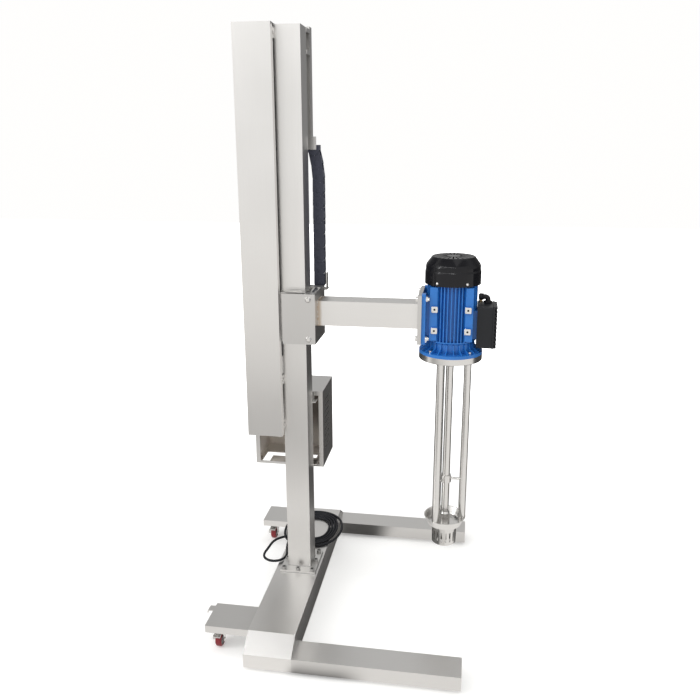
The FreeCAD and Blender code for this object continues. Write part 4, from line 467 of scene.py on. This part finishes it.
def dress_nodes(finishes):
    """Gives every carried-over CAD node its finish."""
    across = steel("steel_along_y", ALONG_Y, 0.84, 0.34)
    along = steel("steel_along_x", ALONG_X)
    upright = steel("steel_upright", ALONG_Z)
    turned = steel("steel_turned", ROUND_Z, 0.76, 0.20)
    plate = steel("steel_plate", (700, 700, 9), 0.65, 0.34)
    dressed = {
        across: ("crossbeam",),
        along: ("right_leg", "left_leg", "right_outrigger", "left_outrigger",
                "column_base_plate"),
        upright: ("cable_duct", "control_box_mount"),
        folded_case("case_steel"): ("control_box",),
        steel("column_steel", ALONG_Z, 0.81, 0.30): ("column",),
        steel("cover_steel", ALONG_Z, 0.80, 0.28): ("rear_cover",),
        steel("mount_steel", ALONG_Z, 0.80, 0.50, metal=0.55): ("drive_mount",),
        turned: ("mounting_disc", "support_rods", "seal_housing", "mid_spider",
                 "guide_dish", "stator", "rotor_head", "mixer_shaft", "screw_coupling",
                 "upper_roller", "lower_roller", "roller_axles", "lead_screw"),
        plate: ("carriage_housing", "carriage_frame", "arm_end_plate", "chain_bracket",
                "screw_bearings"),
        steel("arm_steel", ALONG_X, 0.84, 0.30, arm_heat): ("arm",),
        finishes["bright"]: ("cover_screws", "motor_bolts"),
        steel("plate_screws", (60, 60, 60), 0.52, 0.55): ("base_plate_bolts",),
        steel("zinc_plate", (60, 60, 60), 0.66, 0.24): (
            "right_brake_pedal", "left_brake_pedal", "right_caster_fork",
            "left_caster_fork"),
        two_tone("caster_wheel"): ("right_caster_wheel", "left_caster_wheel"),
        paint_coat("motor_blue", (0.020, 0.175, 0.56)): ("motor_frame", "motor_flange"),
        finishes["cowl"]: ("fan_cowl",),
        finishes["box"]: ("terminal_box", "terminal_box_lid"),
        finishes["gland"]: ("cable_glands", "cord_gland"),
        moulded("fan_plastic", (0.09, 0.09, 0.09)): ("cooling_fan",),
        steel("rotor_iron", ROUND_Z, 0.40, 0.45): ("motor_rotor",),
        steel("cast_aluminium", (90, 90, 90), 0.62, 0.48): ("lift_gearmotor",),
        moulded("pad_white", (0.78, 0.78, 0.74)): ("guide_pads",),
        finishes["bronze"]: ("lift_nut",),
        moulded("foot_rubber", (0.025, 0.025, 0.026), 0.7): ("floor_feet",),
        finishes["chain"]: ("cable_chain",),
        finishes["cord"]: ("power_cord", "cord_coil", "mains_plug"),
        moulded("stop_red", (0.60, 0.02, 0.02), 0.25): ("emergency_stop",),
        moulded("knob_black", (0.03, 0.03, 0.03), 0.4): ("lift_switch", "speed_knob"),
    }
    for material, names in dressed.items():
        for name in names:
            dress(name, material)


# ---- forms -----------------------------------------------------------------------------
class Form:
    """Points and faces, in millimetres from the column's axis, that can be added together."""

    def __init__(self, points, faces):
        self.points = np.array(points, float).reshape(-1, 3)
        self.faces = faces

    def __add__(self, other):
        step = len(self.points)
        shifted = [tuple(i + step for i in face) for face in other.faces]
        return Form(np.vstack([self.points, other.points]), self.faces + shifted)

    def moved(self, x=0.0, y=0.0, z=0.0):
        """Shifted by millimetres."""
        return Form(self.points + np.array([x, y, z], float), self.faces)

    def turned(self, axis, degrees):
        """Rotated about the X, Y or Z axis through the origin."""
        matrix = np.array(Matrix.Rotation(math.radians(degrees), 3, axis))
        return Form(self.points @ matrix.T, self.faces)

    def aimed(self, direction):
        """Turned so that what pointed up +Z points along direction."""
        turn = Vector(direction).to_track_quat("Z", "Y").to_matrix()
        return Form(self.points @ np.array(turn).T, self.faces)


def lattice(points, ring_u=True, ring_v=False, caps=True):
    """Four-sided faces over points[u, v]. ring_u and ring_v join the last row to the first,
    and caps closes the first and the last ring of u with one face each."""
    count_u, count_v = points.shape[:2]
    index = np.arange(count_u * count_v).reshape(count_u, count_v)
    u = np.arange(count_u if ring_u else count_u - 1)
    v = np.arange(count_v if ring_v else count_v - 1)
    next_u, next_v = (u + 1) % count_u, (v + 1) % count_v
    quads = np.stack([index[np.ix_(u, v)], index[np.ix_(next_u, v)],
                      index[np.ix_(next_u, next_v)], index[np.ix_(u, next_v)]], axis=-1)
    faces = [tuple(face) for face in quads.reshape(-1, 4).tolist()]
    if caps:
        faces += [tuple(index[::-1, 0].tolist()), tuple(index[:, -1].tolist())]
    return Form(points.reshape(-1, 3), faces)


def lathe(profile, count=32, closed=False):
    """Each profile point (r, z) goes round the Z axis: x = r cos a, y = r sin a. A closed
    profile makes a ring, an open one is capped at both ends."""
    profile = np.array(profile, float)
    angle = np.arange(count) * 2 * math.pi / count
    points = np.stack([np.outer(np.cos(angle), profile[:, 0]),
                       np.outer(np.sin(angle), profile[:, 0]),
                       np.outer(np.ones(count), profile[:, 1])], axis=-1)
    return lattice(points, True, closed, not closed)


def prism(outline, low, high):
    """A closed outline (x, y), anticlockwise, drawn up from z low to z high and capped."""
    outline = np.array(outline, float)
    rings = [np.column_stack([outline, np.full(len(outline), level)])
             for level in (low, high)]
    return lattice(np.stack(rings, axis=1))


def nothing():
    """A form without points, to add others to."""
    return Form(np.zeros((0, 3)), [])


def cuboid(low, high):
    """A box between two corners."""
    outline = [(low[0], low[1]), (high[0], low[1]), (high[0], high[1]), (low[0], high[1])]
    return prism(outline, low[2], high[2])


def tube(path, radius, count=12, up=(0, 0, 1)):
    """A circle of the given radius, or one radius per point, carried along a path: each ring
    stands square to the path's direction there."""
    path = np.array(path, float)
    ahead = np.gradient(path, axis=0)
    ahead /= np.linalg.norm(ahead, axis=1)[:, None]
    side = np.cross(ahead, np.array(up, float))
    side /= np.linalg.norm(side, axis=1)[:, None]
    over = np.cross(side, ahead)
    angle = np.arange(count) * 2 * math.pi / count
    radius = np.broadcast_to(np.array(radius, float), len(path))[None, :, None]
    points = path[None] + radius * (np.cos(angle)[:, None, None] * side[None]
                                    + np.sin(angle)[:, None, None] * over[None])
    return lattice(points[::-1])


def hexagon(across, low, high):
    """A six-sided nut or bolt head, given its width across the flats, with chamfered top."""
    radius = across / math.sqrt(3)
    angle = np.arange(6) * math.pi / 3
    rim = np.stack([np.cos(angle), np.sin(angle)], axis=-1)
    levels = ((0.94 * radius, low), (radius, low + 0.6), (radius, high - 0.8),
              (0.88 * radius, high))
    rings = [np.column_stack([rim * r, np.full(6, z)]) for r, z in levels]
    return lattice(np.stack(rings, axis=1))


def make(name, form, material, body, replaces=(), smooth=35.0, bevel=0.0):
    """Builds the piece, gives it its finish and edges, and ties it to its body."""
    mesh = bpy.data.meshes.new(name)
    mesh.from_pydata(place(form.points).tolist(), [], form.faces)
    mesh.validate()
    mesh.polygons.foreach_set("use_smooth", [True] * len(mesh.polygons))
    mesh.set_sharp_from_angle(angle=math.radians(smooth))
    mesh.materials.append(material)
    piece = bpy.data.objects.new(name, mesh)
    bpy.context.collection.objects.link(piece)
    if bevel:
        modifier = piece.modifiers.new("edges", "BEVEL")
        modifier.width = bevel / 1000
        modifier.segments = 2
        modifier.limit_method = "ANGLE"
        modifier.angle_limit = math.radians(40)
        modifier.harden_normals = True
    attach(piece, body)
    if replaces:
        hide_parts(*replaces)
    return piece


# ---- power cord ------------------------------------------------------------------------
# The cord runs through LEAD, then the coil, then LOOP to the plug.
CORD_RADIUS = 4.5
COIL_CENTRE = (-7.0, 228.0)
COIL_STRAIGHT = 27.5
BEAM_TOP = 100.0
LEAD = ((25, 50, 128), (25, 56.3, 127.4), (21.2, 73.6, 124.1), (9.6, 88.1, 118.8),
        (-9, 96, 113.5))
LOOP = ((-59.1, 144.1, 115.5), (-88, 145, 112.8), (-112, 136, 110), (-129, 120, 108.3),
        (-138, 96, 107.5), (-141, 60, 107.5), (-146.4, 22.5, 107.5), (-139.6, -4.9, 107.8),
        (-119.9, -21.5, 107.7), (-95.6, -24, 107.6), (-74.2, -12.7, 107.5),
        (-62.3, 9.2, 107.5), (-64, 40, 108), (-73.1, 72.1, 113.2), (-73, 94.2, 121.5),
        (-61.4, 111, 131.1), (-50, 116, 135.8))
GLAND_SPOT = (25, 40.1, 128)
# Radius of the wound cord where each turn passes the near side, -X, the far side and +X.
COIL_RADII = (108, 108, 112, 112, 98, 98, 101, 91, 82, 86, 89, 82, 73, 75, 76, 72, 64, 62,
              63, 62, 60, 60)


def coil_turns():
    """Points of the wound part, 16 to a turn, clockwise from the near side: x and y run round
    a circle of the radius that COIL_RADII gives, and y is drawn out by COIL_STRAIGHT times
    tanh(2.2 sin a) / tanh(2.2), a soft step that is -1 on the near side and 1 on the far one.
    All turns lie on the beam, and the last rises to cross the others."""
    turn = np.arange(0.06, 5.06, 1 / 16)
    radius = np.interp(turn, np.arange(len(COIL_RADII)) / 4, COIL_RADII)
    height = np.interp(turn, [0, 0.2, 4.75, 5.0, 5.06], [4.0, 0, 0, 9.0, 9.6])
    angle = np.radians(-90 - 360 * turn)
    flat = np.tanh(2.2 * np.sin(angle)) / np.tanh(2.2)
    return np.stack([COIL_CENTRE[0] + radius * np.cos(angle),
                     COIL_CENTRE[1] + COIL_STRAIGHT * flat + radius * np.sin(angle),
                     BEAM_TOP + CORD_RADIUS + 0.3 + height], axis=-1)


def make_cord(rubber):
    """The mains lead: out of its gland, five loose turns on the beam, a narrow loop beside
    the column and back up to the plug that lies on the coil."""
    route = place(np.vstack([LEAD, coil_turns(), LOOP]))
    curve = bpy.data.curves.new("mains_lead", "CURVE")
    curve.dimensions = "3D"
    spline = curve.splines.new("NURBS")
    spline.points.add(len(route) - 1)
    spline.points.foreach_set("co", np.column_stack([route, np.ones(len(route))]).ravel())
    spline.order_u = 3
    spline.use_endpoint_u = True
    spline.resolution_u = 6
    curve.bevel_depth = CORD_RADIUS / 1000
    curve.bevel_resolution = 4
    curve.use_fill_caps = True
    curve.materials.append(rubber)
    lead = bpy.data.objects.new("mains_lead", curve)
    bpy.context.collection.objects.link(lead)
    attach(lead, "stand")
    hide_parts("power_cord", "cord_coil")
    return lead


def make_plug():
    """Moulded plug: a ribbed tail and a body. Each ring's radius is multiplied by
    (cos^4 a + sin^4 a)^(-1/4), a square with round corners, and then flattened."""
    heading = Vector(LOOP[-1]) - Vector(LOOP[-2])
    levels = np.array([-2, 2, 6, 7, 10, 11, 14, 15, 18, 24, 34, 40, 42], float)
    radii = np.array([7, 9, 11, 9.5, 12, 10.5, 13, 11.5, 14.5, 17, 17, 16.5, 14], float)
    angle = np.arange(32) * math.pi / 16
    square = (np.abs(np.cos(angle)) ** 4 + np.abs(np.sin(angle)) ** 4) ** -0.25
    points = np.stack([np.outer(np.cos(angle) * square, radii * 0.88),
                       np.outer(np.sin(angle) * square, radii * 0.80),
                       np.outer(np.ones(32), levels)], axis=-1)
    return lattice(points).aimed(heading).moved(*LOOP[-1])


def make_pins():
    """The plug's three flat pins."""
    heading = Vector(LOOP[-1]) - Vector(LOOP[-2])
    pins = nothing()
    for across, up in ((-7, 3), (7, 3), (0, -6)):
        pins += cuboid((up - 0.8, across - 3.15, 41.0), (up + 0.8, across + 3.15, 60.0))
    return pins.aimed(heading).moved(*LOOP[-1])


def make_relief():
    """Gland on the column: flange nut, dome and a tapered sleeve with soft rings."""
    level = np.arange(0, 22.1, 1.1)
    sleeve = [(8.2 - 0.135 * z + 0.45 * math.cos(z * math.pi / 2.2), 10 + z) for z in level]
    profile = [(5.2, 2)] + [(8.8, 9)] + sleeve + [(4.7, 32.6)]
    nut = hexagon(21, 0, 8)
    return (nut + lathe(profile, 24)).turned("X", -90).moved(*GLAND_SPOT)


# ---- drag chain ------------------------------------------------------------------------
CHAIN_PITCH = 43.0
CHAIN_RADIUS = 18.0
CHAIN_LINKS = 10
CHAIN_FOOT = (60.0, 1101.0)
CHAIN_LEAN = {CHAIN_LINKS - 2: -6.0, CHAIN_LINKS - 1: -12.0}
CHAIN_NEAR, CHAIN_FAR = 87.0, 119.0
# Thickness, from x to x, of the bars that join a link's two sides.
CHAIN_BARS = ((12.5, 17.2), (-17.2, -12.5))


def chain_nose():
    """The half circle at a link's lower end, from -X round to +X."""
    turn = np.radians(np.arange(180, 361, 12))
    return [(CHAIN_RADIUS * math.cos(a), CHAIN_RADIUS * math.sin(a)) for a in turn]


def chain_bars(top):
    """A bar in front and one behind, from side to side of a link, up to a height."""
    bars = nothing()
    for inner, outer in CHAIN_BARS:
        bars += cuboid((inner, CHAIN_NEAR + 4, -2), (outer, CHAIN_FAR - 4, top))
    return bars


def link_plate(low, high):
    """A link's side: a half circle below and a hollow 0.5 mm wider above, drawn along Y from
    low to high."""
    bowl = np.radians(np.arange(-20, -161, -14))
    gap = CHAIN_RADIUS + 0.5
    outline = chain_nose() + [(gap * math.cos(a), CHAIN_PITCH + gap * math.sin(a))
                              for a in bowl]
    return prism(outline, 0, high - low).turned("X", 90).moved(0, high, 0)


def pivot_boss(y, outward):
    """Raised ring round the pivot, on the plane y; outward is 1 to face -Y, -1 to face +Y."""
    boss = lathe([(7.5, 0), (7.5, 0.5), (6.9, 0.9), (3.6, 0.9), (3.2, 0.4)], 24)
    return boss.turned("X", 90 * outward).moved(0, y, 0)


def chain_link():
    """Two side plates, a pivot boss on each, and a bar in front and behind."""
    link = link_plate(CHAIN_NEAR + 0.9, CHAIN_NEAR + 4.5)
    link += link_plate(CHAIN_FAR - 4.5, CHAIN_FAR - 0.9)
    link += pivot_boss(CHAIN_NEAR + 0.9, 1) + pivot_boss(CHAIN_FAR - 0.9, -1)
    return link + chain_bars(21)


def chain_end():
    """Upper end piece: round cheeks that rise to the duct, and a bar in front and behind."""
    outline = chain_nose() + [(CHAIN_RADIUS, 14.5), (-CHAIN_RADIUS, 14.5)]
    piece = nothing()
    for near, far in ((84.1, CHAIN_NEAR + 4.5), (CHAIN_FAR - 4.5, CHAIN_FAR - 0.9)):
        piece += prism(outline, 0, far - near).turned("X", 90).moved(0, far, 0)
    return piece + chain_bars(14) + pivot_boss(CHAIN_FAR - 0.9, -1)


def make_chain(plastic):
    """The drag chain as one piece: each link stands on the one below, leant by CHAIN_LEAN."""
    chain = nothing()
    x, z = CHAIN_FOOT
    for number in range(CHAIN_LINKS):
        lean = CHAIN_LEAN.get(number, 0.0)
        chain += chain_link().turned("Y", lean).moved(x, 0, z)
        x += CHAIN_PITCH * math.sin(math.radians(lean))
        z += CHAIN_PITCH * math.cos(math.radians(lean))
    chain += chain_end().moved(x, 0, z)
    return make("drag_chain", chain, plastic, "stand", ("cable_chain",),
                bevel=0.8)


# ---- welds -----------------------------------------------------------------------------
RIPPLE = 2.6
COLUMN_HALF, PLATE_HALF_X, PLATE_HALF_Y, PLATE_TOP = 40.0, 62.0, 73.0, 108.0
ARM_ROOT, ARM_LENGTH, ARM_HALF, ARM_AXIS = 79.4, 320.2, 39.5, 1028.0


def weld(start, end, up, radius=2.4):
    """A bead along a line: its radius is 0.82 + 0.18 |sin(pi s / RIPPLE)| of the given one at
    the length s, and tapers off at both ends."""
    start, end = np.array(start, float), np.array(end, float)
    length = np.linalg.norm(end - start)
    along = np.linspace(0, 1, max(6, int(length / 0.65)))
    path = start + along[:, None] * (end - start)
    ripple = 0.82 + 0.18 * np.abs(np.sin(along * length * math.pi / RIPPLE))
    taper = np.clip(np.minimum(along, 1 - along) * length / radius, 0.3, 1)
    return tube(path, radius * ripple * taper, 8, up)


def weld_ring(corners, up, radius=2.4):
    """Beads along the sides of a closed outline."""
    ring = nothing()
    for start, end in zip(corners, corners[1:] + corners[:1]):
        ring += weld(start, end, up, radius)
    return ring


def level_outline(half_x, half_y, z):
    """Corners of a level rectangle round the column's axis."""
    return [(-half_x, -half_y, z), (half_x, -half_y, z), (half_x, half_y, z),
            (-half_x, half_y, z)]


def make_welds(bead, tinted):
    """Beads round the column's foot, round its plate and round both ends of the arm."""
    column_foot = level_outline(COLUMN_HALF + 0.2, COLUMN_HALF + 0.2, PLATE_TOP + 0.2)
    plate_edge = level_outline(PLATE_HALF_X + 0.2, PLATE_HALF_Y + 0.2, BEAM_TOP + 0.2)
    foot = weld_ring(column_foot, (0, 0, 1), 2.0) + weld_ring(plate_edge, (0, 0, 1), 1.6)
    make("foot_welds", foot, bead, "stand")
    low, high = ARM_AXIS - ARM_HALF, ARM_AXIS + ARM_HALF
    root = [(ARM_ROOT, -ARM_HALF, low), (ARM_ROOT, ARM_HALF, low),
            (ARM_ROOT, ARM_HALF, high), (ARM_ROOT, -ARM_HALF, high)]
    head = [(x + ARM_LENGTH, y, z) for x, y, z in root]
    make("arm_root_welds", weld_ring(root, (1, 0, 0), 2.6), tinted, "carriage")
    make("arm_end_welds", weld_ring(head, (1, 0, 0), 2.4), bead, "carriage")


# ---- motor -----------------------------------------------------------------------------
BOSS_X, BOSS_LEVELS, BOSS_FACE = 51.0, (993.0, 1060.0), 77.0


def boss_face():
    """A milled square with rounded corners round a tapped hole, on z = 0: its outline's
    radius is that of the circle times (cos^8 a + sin^8 a)^(-1/8)."""
    count = 32
    angle = (np.arange(count) + 0.5) * 2 * math.pi / count
    corner = (np.abs(np.cos(angle)) ** 8 + np.abs(np.sin(angle)) ** 8) ** -0.125
    levels = ((9.6 * corner, 0), (9.6 * corner, 0.8), (9.0 * corner, 1.3),
              (3.4 + 0 * angle, 1.3), (2.9 + 0 * angle, 0.4))
    rings = [np.stack([np.cos(angle) * r, np.sin(angle) * r, np.full(count, z)], axis=-1)
             for r, z in levels]
    return lattice(np.stack(rings, axis=1))


def make_boss_faces(metal, dark):
    """The milled faces of the motor's eight mounting bosses, and dark discs in them that paint
    the shade of the tapped holes.
    """
    faces, holes = nothing(), nothing()
    for side in (-1, 1):
        for across in (-BOSS_X, BOSS_X):
            for level in BOSS_LEVELS:
                spot = (MOTOR_X + across, side * BOSS_FACE, level)
                faces += boss_face().turned("X", -90 * side).moved(*spot)
                # A dark disc as painted shade in the tapped hole.
                hole = lathe([(3.0, 0.3), (3.0, 0.7)], 20)
                holes += hole.turned("X", -90 * side).moved(*spot)
    make("boss_faces", faces, metal, "carriage")
    make("boss_hole_shades", holes, dark, "carriage")


SCREW_TURNS, SCREW_REACH, SCREW_LEVEL = (-121, -59, 59, 121), 87.6, 1140


def make_cowl_screws(metal):
    """Four pan-head screws round the cowl's lower band, at SCREW_TURNS degrees from +X."""
    screws = nothing()
    head = lathe([(4.4, -1), (4.4, 0.8), (3.6, 2.0), (1.6, 2.5), (1.3, 1.2)], 20)
    for angle in SCREW_TURNS:
        x, y = math.cos(math.radians(angle)), math.sin(math.radians(angle))
        spot = (MOTOR_X + SCREW_REACH * x, SCREW_REACH * y, SCREW_LEVEL)
        screws += head.aimed((x, y, 0)).moved(*spot)
    make("cowl_screws", screws, metal, "carriage")


def rounded(corners, radii, steps=6):
    """An open profile whose inner corners are arcs: each arc's points are the mix
    (1 - s)^2 a + 2 s (1 - s) corner + s^2 b between the points a, b that lie radius away."""
    corners = np.array(corners, float)
    points = [corners[0]]
    for before, corner, after, radius in zip(corners, corners[1:], corners[2:], radii):
        start = corner + (before - corner) * radius / np.linalg.norm(before - corner)
        end = corner + (after - corner) * radius / np.linalg.norm(after - corner)
        for s in np.linspace(0, 1, steps):
            points.append((1 - s) ** 2 * start + 2 * s * (1 - s) * corner + s * s * end)
    return points + [corners[-1]]


COWL_LOW, COWL_STEP, COWL_SHOULDER, COWL_TOP = 1131.0, 1172.0, 1190.0, 1215.0
BAND_RADIUS, DRUM_RADIUS, TOP_RADIUS = 86.5, 84.6, 62.5
SLOTS, SLOT_HALF, SLOT_START, SLOT_END = 24, 2.25, 20.0, 63.5


def make_cowl(paint):
    """Pressed fan cowl: a lower band, a step, a shoulder, and a top with radial slots. The
    top is a ring and bars that widen outwards, each half a slot short of its sector's sides:
    at radius r a bar's half angle is the sector's less asin(SLOT_HALF / r)."""
    band = rounded([(BAND_RADIUS, COWL_LOW), (BAND_RADIUS, COWL_STEP - 1),
                    (DRUM_RADIUS, COWL_STEP + 3), (DRUM_RADIUS, COWL_STEP + 4.5)],
                   (1.2, 0.8))
    shoulder = rounded([(DRUM_RADIUS, COWL_STEP + 5), (DRUM_RADIUS, COWL_SHOULDER),
                        (TOP_RADIUS + 3.5, COWL_TOP), (TOP_RADIUS, COWL_TOP)], (6, 2.4))
    inside = [(TOP_RADIUS, COWL_TOP - 2), (TOP_RADIUS + 2, COWL_TOP - 2),
              (DRUM_RADIUS - 2, COWL_SHOULDER - 1), (DRUM_RADIUS - 2, COWL_LOW)]
    shell = lathe(band + shoulder + inside, 96, closed=True)
    top = lathe([(20.6, COWL_TOP - 2), (21, COWL_TOP - 1.6), (21, COWL_TOP - 0.4),
                 (20.6, COWL_TOP)], 48)
    for number in range(SLOTS):
        half = math.pi / SLOTS
        middle = half * (2 * number + 1)
        near, far = (half - math.asin(SLOT_HALF / r) for r in (SLOT_START, SLOT_END))
        bar = [(r * math.cos(a), r * math.sin(a)) for r, a in (
            (SLOT_START, middle - near), (SLOT_END, middle - far),
            (SLOT_END, middle + far), (SLOT_START, middle + near))]
        top += prism(bar, COWL_TOP - 2, COWL_TOP)
    make("cowl_shell", shell.moved(MOTOR_X), paint, "carriage", ("fan_cowl",))
    make("cowl_grille", top.moved(MOTOR_X), paint, "carriage", bevel=0.3)


BOX_RIGHT, BOX_HALF = 628.0, 50.0
BOX_LOW, BOX_HIGH, LID_DEPTH = 935.0, 1066.0, 14.0
LID_RIBS, RIB_HALF = 11, 3.2


def make_lid(plastic):
    """Ribbed cover of the terminal box: ribs on a slab with rounded corners, whose outline's
    radius is that of an ellipse times (cos^14 a + sin^14 a)^(-1/14)."""
    count = 48
    angle = (np.arange(count) + 0.5) * 2 * math.pi / count
    corner = (np.abs(np.cos(angle)) ** 14 + np.abs(np.sin(angle)) ** 14) ** (-1 / 14)
    half_z = (BOX_HIGH - BOX_LOW) / 2 + 2
    rim = np.stack([-corner * np.sin(angle) * half_z, corner * np.cos(angle) * (BOX_HALF + 2)],
                   axis=-1)
    lid = prism(rim, 0, LID_DEPTH - 8).turned("Y", 90)
    lid = lid.moved(BOX_RIGHT + 0.2, 0, (BOX_LOW + BOX_HIGH) / 2)
    for level in np.linspace(BOX_LOW + 3, BOX_HIGH - 3, LID_RIBS):
        inset = 3.0 if BOX_LOW + 6 < level < BOX_HIGH - 6 else 8.0
        lid += cuboid((BOX_RIGHT + 4, inset - BOX_HALF - 2, level - RIB_HALF),
                      (BOX_RIGHT + LID_DEPTH - 0.2, BOX_HALF + 2 - inset, level + RIB_HALF))
    make("terminal_cover", lid, plastic, "carriage", ("terminal_box_lid",),
         bevel=1.1)


ELBOW_X, ELBOW_Y = 613.0, 22.0
BLANK_X, BLANK_Y = 590.0, 40.0


def make_gland(plastic, brass):
    """Elbow gland on the terminal box and a brass blanking plug behind it."""
    turn = np.radians(np.arange(0, 91, 10))
    bend = [(9 * math.cos(a) - 9, 0, 10 + 9 * math.sin(a)) for a in turn]
    path = [(0, 0, 0), (0, 0, 5)] + bend + [(-14, 0, 19), (-24, 0, 19)]
    elbow = hexagon(22, 0, 7) + tube(path, 8.0, 20, (0, 1, 0))
    collar = lathe([(8.5, 0), (10.8, 1), (10.8, 4), (10, 5), (10.8, 6), (10.8, 12), (7, 16)],
                   20)
    elbow += collar.turned("Y", -90).moved(-13.5, 0, 19)
    make("elbow_gland", elbow.moved(ELBOW_X, ELBOW_Y, BOX_HIGH + 0.2), plastic, "carriage",
         ("cable_glands",))
    plug = lathe([(6.8, 0.2), (6.8, 2.4), (6.2, 3)], 24) + hexagon(9, 3, 6)
    make("blank_plug", plug.moved(BLANK_X, BLANK_Y, BOX_HIGH), brass, "carriage")


# ---- stand -----------------------------------------------------------------------------
PLATE_SCREWS = ((-50, -62), (0, -62), (50, -62), (-50, 62), (0, 62), (50, 62), (-51, 0),
                (51, 0))
SCREW_TOP = 116.0
# Corners of the dark sheet behind the louvres, which paints the shade seen through them.
SHADE_SHEET_LOW, SHADE_SHEET_HIGH = (62.6, 110, 489), (64.8, 206, 686)


def make_sockets(dark):
    """Dark six-sided discs on the screws of the column's foot plate: painted shade of their
    key holes.
    """
    holes = nothing()
    for x, y in PLATE_SCREWS:
        holes += lathe([(4.0, 0.0), (4.0, 0.4)], 6).moved(x, y, SCREW_TOP)
    make("plate_socket_shades", holes, dark, "stand")


def make_louvre_shade(dark):
    """Dark sheet inside the control box behind its louvres: painted shade that darkens the
    slots.
    """
    make("louvre_shade_sheet", cuboid(SHADE_SHEET_LOW, SHADE_SHEET_HIGH), dark, "stand")


# ---- scene -----------------------------------------------------------------------------
def make_details(finishes):
    """All pieces that are made here."""
    rubber, bright = finishes["cord"], finishes["bright"]
    lead = make_cord(rubber)
    plug = make("lead_plug", make_plug(), finishes["plug"], "stand",
                ("mains_plug",))
    pins = make("plug_pins", make_pins(), finishes["brass"], "stand")
    make("lead_gland", make_relief(), finishes["gland"], "stand",
         ("cord_gland",))
    tuple(place(LEAD[0]).tolist())
    chain = make_chain(finishes["chain"])
    squash_anchor = tuple(place((CHAIN_FOOT[0], 103, 1544)).tolist())
    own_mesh(chain)
    make_welds(finishes["bead"], finishes["tinted"])
    make_boss_faces(finishes["milled"], finishes["dark"])
    make_cowl_screws(bright)
    make_sockets(finishes["dark"])
    make_louvre_shade(finishes["dark"])
    make_cowl(finishes["cowl"])
    make_lid(finishes["box"])
    make_gland(finishes["gland"], finishes["brass"])


make_camera()
make_world()
make_floor()
make_lamp("front_left", (-3.3, -2.4, 3.1), (-0.1, 0.0, 0.8), (3.8, 3.8), 42)
make_lamp("bar", (-0.6, -2.0, 3.0), (0.3, 0.0, 1.17), (3.2, 0.1), 12)
make_lamp("strip", (-2.4, -1.6, 2.0), (0.3, 0.0, 1.1), (0.35, 1.8), 15)
make_lamp("overhead", (0.4, 0.4, 3.6), (0.1, 0.0, 0.6), (3.2, 2.6), 23)
finishes = make_finishes()
dress_nodes(finishes)
make_details(finishes)
